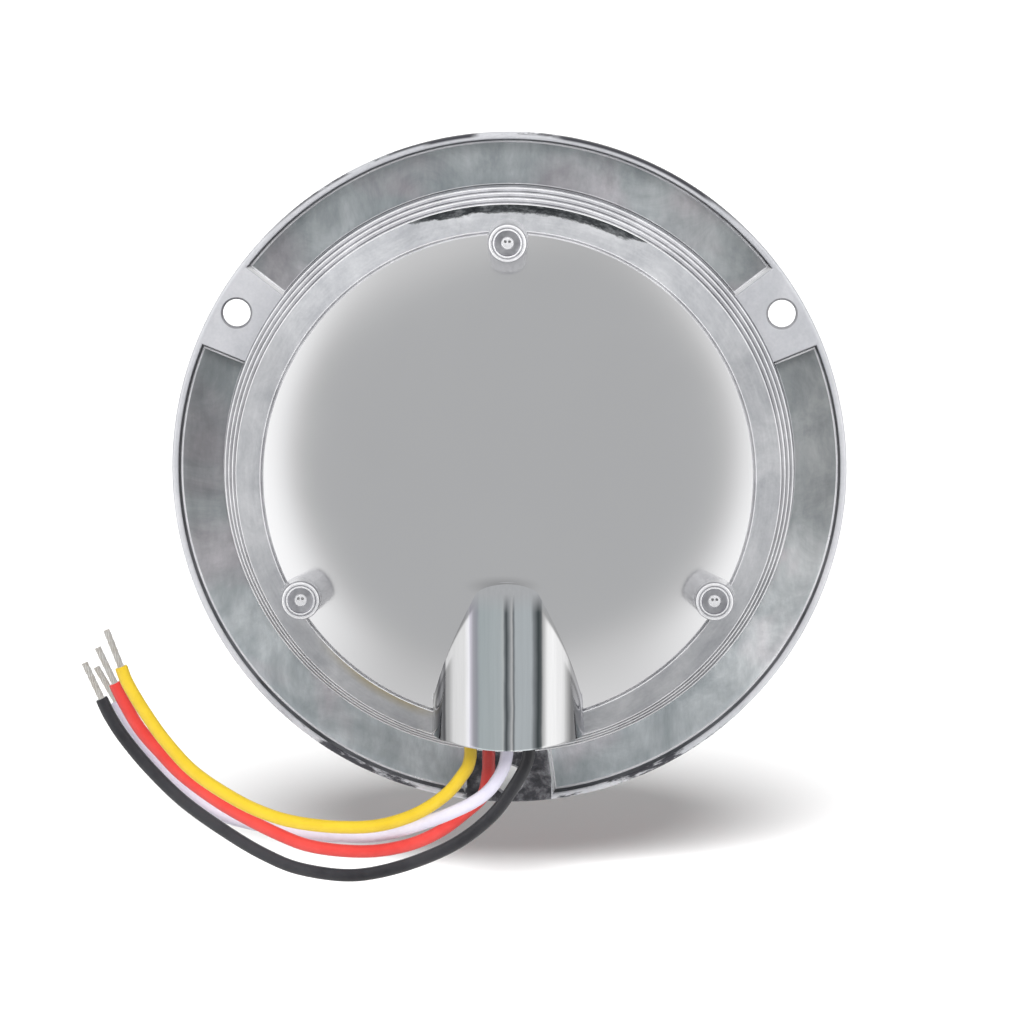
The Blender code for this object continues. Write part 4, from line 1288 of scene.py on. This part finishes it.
# ------------------------------------------------------------------ wiring
# exit: x, h where the wire leaves the tunnel. run: x, h, z outside the lamp.
# sag: x, and how far the run is shifted along z there.
# draw: share by which the run is drawn in towards the lamp beyond DRAW_X.
DRAW_X = 10.0
WIRES = {
    "yellow": dict(
        exit=(7.8, 17.0),
        run=[
            (7.8, 17.3, -58.0), (9.8, 17.2, -62.0), (13.3, 17.0, -66.2), (19.3, 16.6, -70.4),
            (26.8, 16.0, -73.0), (34.8, 15.5, -73.5), (43.4, 15.2, -72.7), (50.0, 15.1, -71.0),
            (57.0, 15.0, -67.8), (65.3, 15.0, -62.3), (71.2, 15.0, -56.0), (75.6, 15.0, -49.8),
            (79.1, 15.0, -43.9), (80.6, 15.0, -40.2),
        ],
        sag=([9, 12, 17, 22, 80], [0.0, 0.3, 0.6, 0.95, 1.0]),
        draw=0.012,
    ),
    "red": dict(
        exit=(3.9, 14.2),
        run=[
            (4.0, 14.0, -58.0), (4.1, 13.8, -62.2), (5.2, 13.6, -67.3), (9.1, 13.4, -71.4),
            (14.4, 13.3, -74.9), (21.2, 13.1, -77.6), (29.8, 12.9, -79.0), (40.0, 12.7, -78.2),
            (47.6, 12.5, -75.6), (58.2, 12.2, -70.1), (67.1, 12.0, -63.8), (72.3, 11.9, -58.5),
            (76.4, 11.8, -53.7), (79.7, 11.8, -48.1), (81.6, 11.8, -44.1),
        ],
        sag=([4, 7, 12, 17, 22, 33, 80], [0.9, 1.5, 1.2, 0.7, 0.8, 0.95, 0.95]),
        draw=0.004,
    ),
    "white": dict(
        exit=(0.1, 18.6),
        run=[
            (0.4, 18.9, -58.0), (2.8, 18.8, -62.9), (6.4, 18.5, -66.6), (12.4, 17.2, -70.2),
            (19.2, 14.0, -73.4), (24.2, 10.9, -75.5), (29.8, 9.0, -76.7), (39.8, 7.7, -76.5),
            (50.6, 7.1, -74.2), (60.4, 6.9, -71.1), (69.3, 6.9, -64.7), (74.4, 7.0, -58.8),
            (78.6, 7.1, -52.5), (81.4, 7.2, -47.6),
        ],
        sag=([3, 6, 12, 20, 44, 51, 60, 80], [0.0, 0.3, 0.7, 0.95, 0.95, 0.2, -0.1, 0.0]),
        draw=0.0,
    ),
    "black": dict(
        exit=(-4.2, 17.0),
        run=[
            (-4.1, 16.8, -58.0), (-0.9, 16.0, -64.4), (3.7, 14.8, -70.9), (10.7, 13.4, -76.6),
            (19.3, 12.2, -80.6), (27.8, 11.4, -83.6), (34.8, 10.9, -84.2), (43.4, 10.6, -82.9),
            (49.6, 10.4, -80.4), (56.7, 10.3, -75.1), (66.7, 10.2, -68.3), (74.0, 10.2, -61.6),
            (79.3, 10.2, -55.2), (82.4, 10.2, -50.4), (84.2, 10.2, -46.6),
        ],
        sag=(
            [0, 7, 12, 17, 22, 28, 49, 51, 55, 59, 63, 68, 72, 84],
            [0.0, 0.6, 0.3, 0.1, 0.4, 0.75, 0.75, 0.4, -0.5, -0.8, -0.6, -0.3, 0.0, 0.0],
        ),
        draw=0.0,
    ),
}
WOBBLE_EVERY = 12  # path points between changes in the insulation's thickness
STRANDS = 7  # one in the middle and six laid round it
STRAND_R = 0.235
STRAND_CIRCLE_R = 0.47
STRAND_LAY = 10.5  # length of one turn


def wire_path(exit, run, sag, draw):
    x, h = exit
    inside = [
        (x, 3.0, -33.0), (x, 8.0, -33.2), (x, h - 2.6, -35.4),
        (x, h - 0.3, -40.0), (x, h, -45.0), (x, h, -51.0),
    ]
    outside = []
    for px, ph, pz in run:
        shift = float(np.interp(px, *sag)) if pz < -60.0 or px > 20 else 0.0
        outside.append((px - draw * max(px - DRAW_X, 0.0), ph, pz + shift))
    return curve_path(inside + outside)


def strands_part(path, rng):
    """Bare strands laid round the wire's line, out of its cut end."""
    end = path[-1]
    along = (path[-1] - path[-2]) / np.linalg.norm(path[-1] - path[-2])
    side = np.cross(along, (0.0, 1.0, 0.0))
    side /= np.linalg.norm(side)
    up = np.cross(along, side)
    start_angle = rng.uniform(0, 2 * math.pi)
    strands = []
    for s in range(STRANDS):
        r = 0.0 if s == 0 else STRAND_CIRCLE_R
        points = []
        for k in range(34):
            uneven = 0.0 if s == 0 else rng.uniform(-0.03, 0.0)
            d = -1.2 + (TIP_L + 1.4 + uneven) * (k / 33)
            a = start_angle + 2 * math.pi * (s / 6 + d / STRAND_LAY)
            points.append(end + along * d + r * (math.cos(a) * side + math.sin(a) * up))
        radii = np.full(len(points), STRAND_R)
        radii[-1] *= 0.8
        strands.append(tube(np.array(points), radii, 10))
    return join(*strands)


def wire(name):
    path = wire_path(**WIRES[name])
    rng = np.random.default_rng(len(name) * 7 + ord(name[0]))
    # The insulation isn't drawn perfectly even, and its ends are slightly crushed.
    knots = np.arange(0, len(path) + WOBBLE_EVERY, WOBBLE_EVERY)
    wobble = np.interp(np.arange(len(path)), knots, rng.uniform(-0.02, 0.0, len(knots)))
    radii = WIRE_R - 0.05 + wobble
    radii[-1] *= 0.93
    radii[0] *= 0.95
    mesh = build_mesh("wire", tube(path, radii, 24), "pvc_" + name)
    insulation = add("wire_" + name, mesh, angle=50.0)
    mesh = build_mesh("tip", strands_part(path, rng), "tinned")
    tip = add("tip_" + name, mesh, angle=50.0)
    for ob in (insulation, tip):
        ob.visible_glossy = False
        ob.visible_shadow = False


def plug():
    """Rubber plug in the tunnel's mouth, with a groove round it and a way for each wire."""
    fit = 0.05
    way_r = 1.5
    # z, and inset from the tunnel's inside
    stations = [
        (-46.0, 0.5), (-46.3, 0.15), (-48.5, 0.12), (-49.0, 0.5),
        (-49.5, 0.12), (-52.4, 0.12), (-53.1, 0.35), (-53.35, 0.8),
    ]
    rings = []
    for z, inset in stations:
        r = TUNNEL_IN_R - fit - inset
        a0 = math.asin((TUNNEL_FLOOR_H + fit + inset - TUNNEL_AXIS_H) / r)
        angles = [a0 + (math.pi - 2 * a0) * i / 72 for i in range(73)]
        rings.append([(r * math.cos(a), TUNNEL_AXIS_H + r * math.sin(a), z) for a in angles])
    ob = new_object("plug_body", build_mesh("plug_body", rings_to_solid(rings), "rubber"))
    turns = [2 * math.pi * j / 28 for j in range(28)]
    for spec in WIRES.values():
        x, h = spec["exit"]
        section = [(x + way_r * math.cos(a), h + way_r * math.sin(a)) for a in turns]
        boolean(ob, build_mesh("way", extrude(section, -60.0, -40.0), "rubber"))
    add("wire_grommet", take_mesh(ob), angle=40.0)


# ------------------------------------------------------------------ CAD parts left in view
def part_material(node):
    if node.startswith("resistor"):
        return "tan_part"
    if node.startswith("diode") or node == "regulator":
        return "black_part"
    return "can" if node == "capacitor" else "board"


def dress_cad_parts():
    for node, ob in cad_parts.items():
        if ob.hide_render:
            continue
        for material_slot in ob.material_slots:
            material_slot.material = MATERIALS[part_material(node)]


# ------------------------------------------------------------------ floor and world
FLOOR_Z = -85.9 * MM
FLOOR_HALF = 12


def make_floor():
    s = FLOOR_HALF
    corners = [(x, z, FLOOR_Z) for x, z in ((-s, -s), (s, -s), (s, s), (-s, s))]
    mesh = bpy.data.meshes.new("floor")
    mesh.from_pydata(corners, [], [(0, 1, 2, 3)])
    t = Material("floor")
    t.colour(t.ramp(t.noise(scale=2.0, detail=2.0), [(0.3, 0.93), (0.7, 0.95)]))
    t.set(Roughness=0.9, Specular_IOR_Level=0.0)
    mesh.materials.append(t.mat)
    ob = new_object("floor", mesh)
    ob.visible_glossy = False
    return ob


TURN = math.radians(0.9)  # turn of the view about z, off the lamp's rear axis
GAIN = 2.0  # ramps hold values up to 1, so they are stored divided by this
AMBIENT = 0.38
COOL, GREY = (0.99, 1.0, 1.01), (1, 1, 1)
# Mirrored brightness: degrees from the rear axis, value. The first two stops are cool.
BESIDE = [
    (0, 0.475), (50.5, 0.475), (53.5, 0.5), (55.5, 0.56), (57.5, 0.69), (59.5, 0.86),
    (61.5, 1.02), (64, 1.15), (68, 1.2), (93, 1.2), (103, 0.72), (116, 0.55), (150, 0.66),
    (180, 0.8),
]
DIM = [
    (0, 0.475), (52, 0.475), (56, 0.505), (59, 0.54), (64, 0.6), (69, 0.64), (90, 0.78),
    (180, 0.8),
]
LIT = [
    (0, 0.475), (46, 0.475), (51, 0.55), (55, 0.64), (59, 0.67), (64, 0.72), (69, 0.76),
    (90, 0.84), (180, 0.8),
]


def make_world():
    """White to the camera, even to diffuse rays, and a studio of soft rings to mirrors."""
    world = bpy.data.worlds.new("studio")
    bpy.context.scene.world = world
    world.use_nodes = True
    world.node_tree.nodes.clear()
    w = Nodes(world.node_tree)

    direction = w.node("ShaderNodeTexCoord").outputs["Generated"]
    unit = w.node("ShaderNodeVectorMath", {0: direction}, operation="NORMALIZE").outputs[0]
    x, y, z = w.xyz(unit)
    axis = (-math.sin(TURN), math.cos(TURN), 0.0)
    dot = w.node("ShaderNodeVectorMath", {0: unit, 1: axis}, operation="DOT_PRODUCT")
    theta = w.math("DIVIDE", w.math("ARCCOSINE", dot.outputs["Value"]), math.pi)
    across = w.math("SQRT", w.math("MAXIMUM", w.minus(1.0, w.times(y, y)), 1e-6))
    lateral = w.math("DIVIDE", w.math("ABSOLUTE", x), across)

    def by_angle(table):
        stops = []
        for i, (deg, value) in enumerate(table):
            tint = COOL if i < 2 else GREY
            stops.append((deg / 180.0, tuple(value * c / GAIN for c in tint)))
        return w.ramp(theta, stops)

    beside, dim, lit = by_angle(BESIDE), by_angle(DIM), by_angle(LIT)
    diagonal = w.math("DIVIDE", w.times(x, z), w.times(across, across))
    above = w.mix(w.smoothstep(diagonal, start=-0.3, end=0.3), dim, lit)
    mirrored = w.mix(w.smoothstep(lateral, start=0.42, end=0.95), above, beside)
    gained = {0: mirrored, 1: (GAIN, GAIN, GAIN)}
    scaled = w.node("ShaderNodeVectorMath", gained, operation="MULTIPLY").outputs[0]
    ray = w.node("ShaderNodeLightPath").outputs
    soft = w.mix(ray["Is Diffuse Ray"], scaled, (AMBIENT, AMBIENT, AMBIENT, 1.0))
    final = w.mix(ray["Is Camera Ray"], soft, (1.0, 1.0, 1.0, 1.0))
    background = w.node("ShaderNodeBackground", {"Color": final, "Strength": 1.0})
    w.node("ShaderNodeOutputWorld", {"Surface": background.outputs[0]})


# ------------------------------------------------------------------ lights and camera
def point_along(ob, direction):
    ob.rotation_euler = direction.to_track_quat("-Z", "Y").to_euler()


def light(name, kind, **settings):
    data = bpy.data.lights.new(name, kind)
    for key, value in settings.items():
        setattr(data, key, value)
    ob = new_object(name, data)
    ob.visible_glossy = False
    return ob


def link_floor(name, state, floor, *lights):
    """Makes lights shine on the floor only (INCLUDE) or on all but the floor (EXCLUDE)."""
    receivers = bpy.data.collections.new(name)
    receivers.objects.link(floor)
    receivers.collection_objects[0].light_linking.link_state = state
    for ob in lights:
        ob.light_linking.receiver_collection = receivers


def make_lights(floor):
    # The key lamp is wide and far off, so its light is soft.
    key = light("key", "SUN", energy=3.3, angle=math.radians(36.0))
    point_along(key, Vector((0.0, -0.735, -0.68)))
    # The floor has a brighter key lamp of its own, which sets the size of its shadow.
    floor_key = light("floor_key", "SUN", energy=5.6, angle=math.radians(34.0))
    point_along(floor_key, Vector((0.0, -0.772, -0.636)))
    # A faint lamp without shadow keeps the shadow from going too deep.
    lift = light("lift", "SUN", energy=0.01, use_shadow=False)
    # A fill for the lens side that leaves the floor alone, so the shadow stays.
    fill = light("fill", "AREA", energy=14.0, shape="DISK", size=1.2)
    fill.location = (-0.5, -1.6, 1.1)
    point_along(fill, -fill.location)
    link_floor("besides_floor", "EXCLUDE", floor, key)
    link_floor("lifted", "INCLUDE", floor, lift, floor_key)
    link_floor("unlit", "EXCLUDE", floor, fill)


ELEVATION = math.radians(7.4)
DISTANCE = 1.3  # metres
SENSOR = 36.0
VIEW_WIDTH = 212.3776  # width seen at the seat
AIM_RIGHT = 0.60146  # aim point from the seat's centre, in the view
AIM_DOWN = 8.77302


def make_camera():
    """The camera looks at the lamp's back from slightly above."""
    level = math.cos(ELEVATION)
    forward = Vector((math.sin(TURN) * level, -math.cos(TURN) * level, -math.sin(ELEVATION)))
    right = forward.cross(Vector((0, 0, 1))).normalized()
    up = right.cross(forward)
    seat_centre = Vector((0, -BACK_H * MM, 0))
    aim = seat_centre + right * (AIM_RIGHT * MM) - up * (AIM_DOWN * MM)
    data = bpy.data.cameras.new("camera")
    data.sensor_width = SENSOR
    data.lens = SENSOR * DISTANCE / (VIEW_WIDTH * MM)
    data.clip_end = 100.0
    camera = new_object("camera", data)
    camera.location = aim - forward * DISTANCE
    point_along(camera, forward)
    bpy.context.scene.camera = camera
    bpy.context.scene.view_settings.view_transform = "Standard"


# ------------------------------------------------------------------ build
housing()
outer_lens()
centre_lens()
seal("lens_gasket", radii=(54.0, 56.4), heights=(-0.8, 0.2))
reflector()
for led_place in led_places():
    led(*led_place)
for screw_side, screw_deg in zip(("top", "left", "right"), BOSS_DEG):
    screw_place = polar(BOSS_CIRCLE_R, screw_deg)
    screw(screw_side, screw_place)
    seal("washer_" + screw_side, (2.05, 3.4), (-12.7, -11.9), centre=screw_place, segs=48)
for wire_name in WIRES:
    wire(wire_name)
plug()
dress_cad_parts()
stage_floor = make_floor()
make_world()
make_lights(stage_floor)
make_camera()
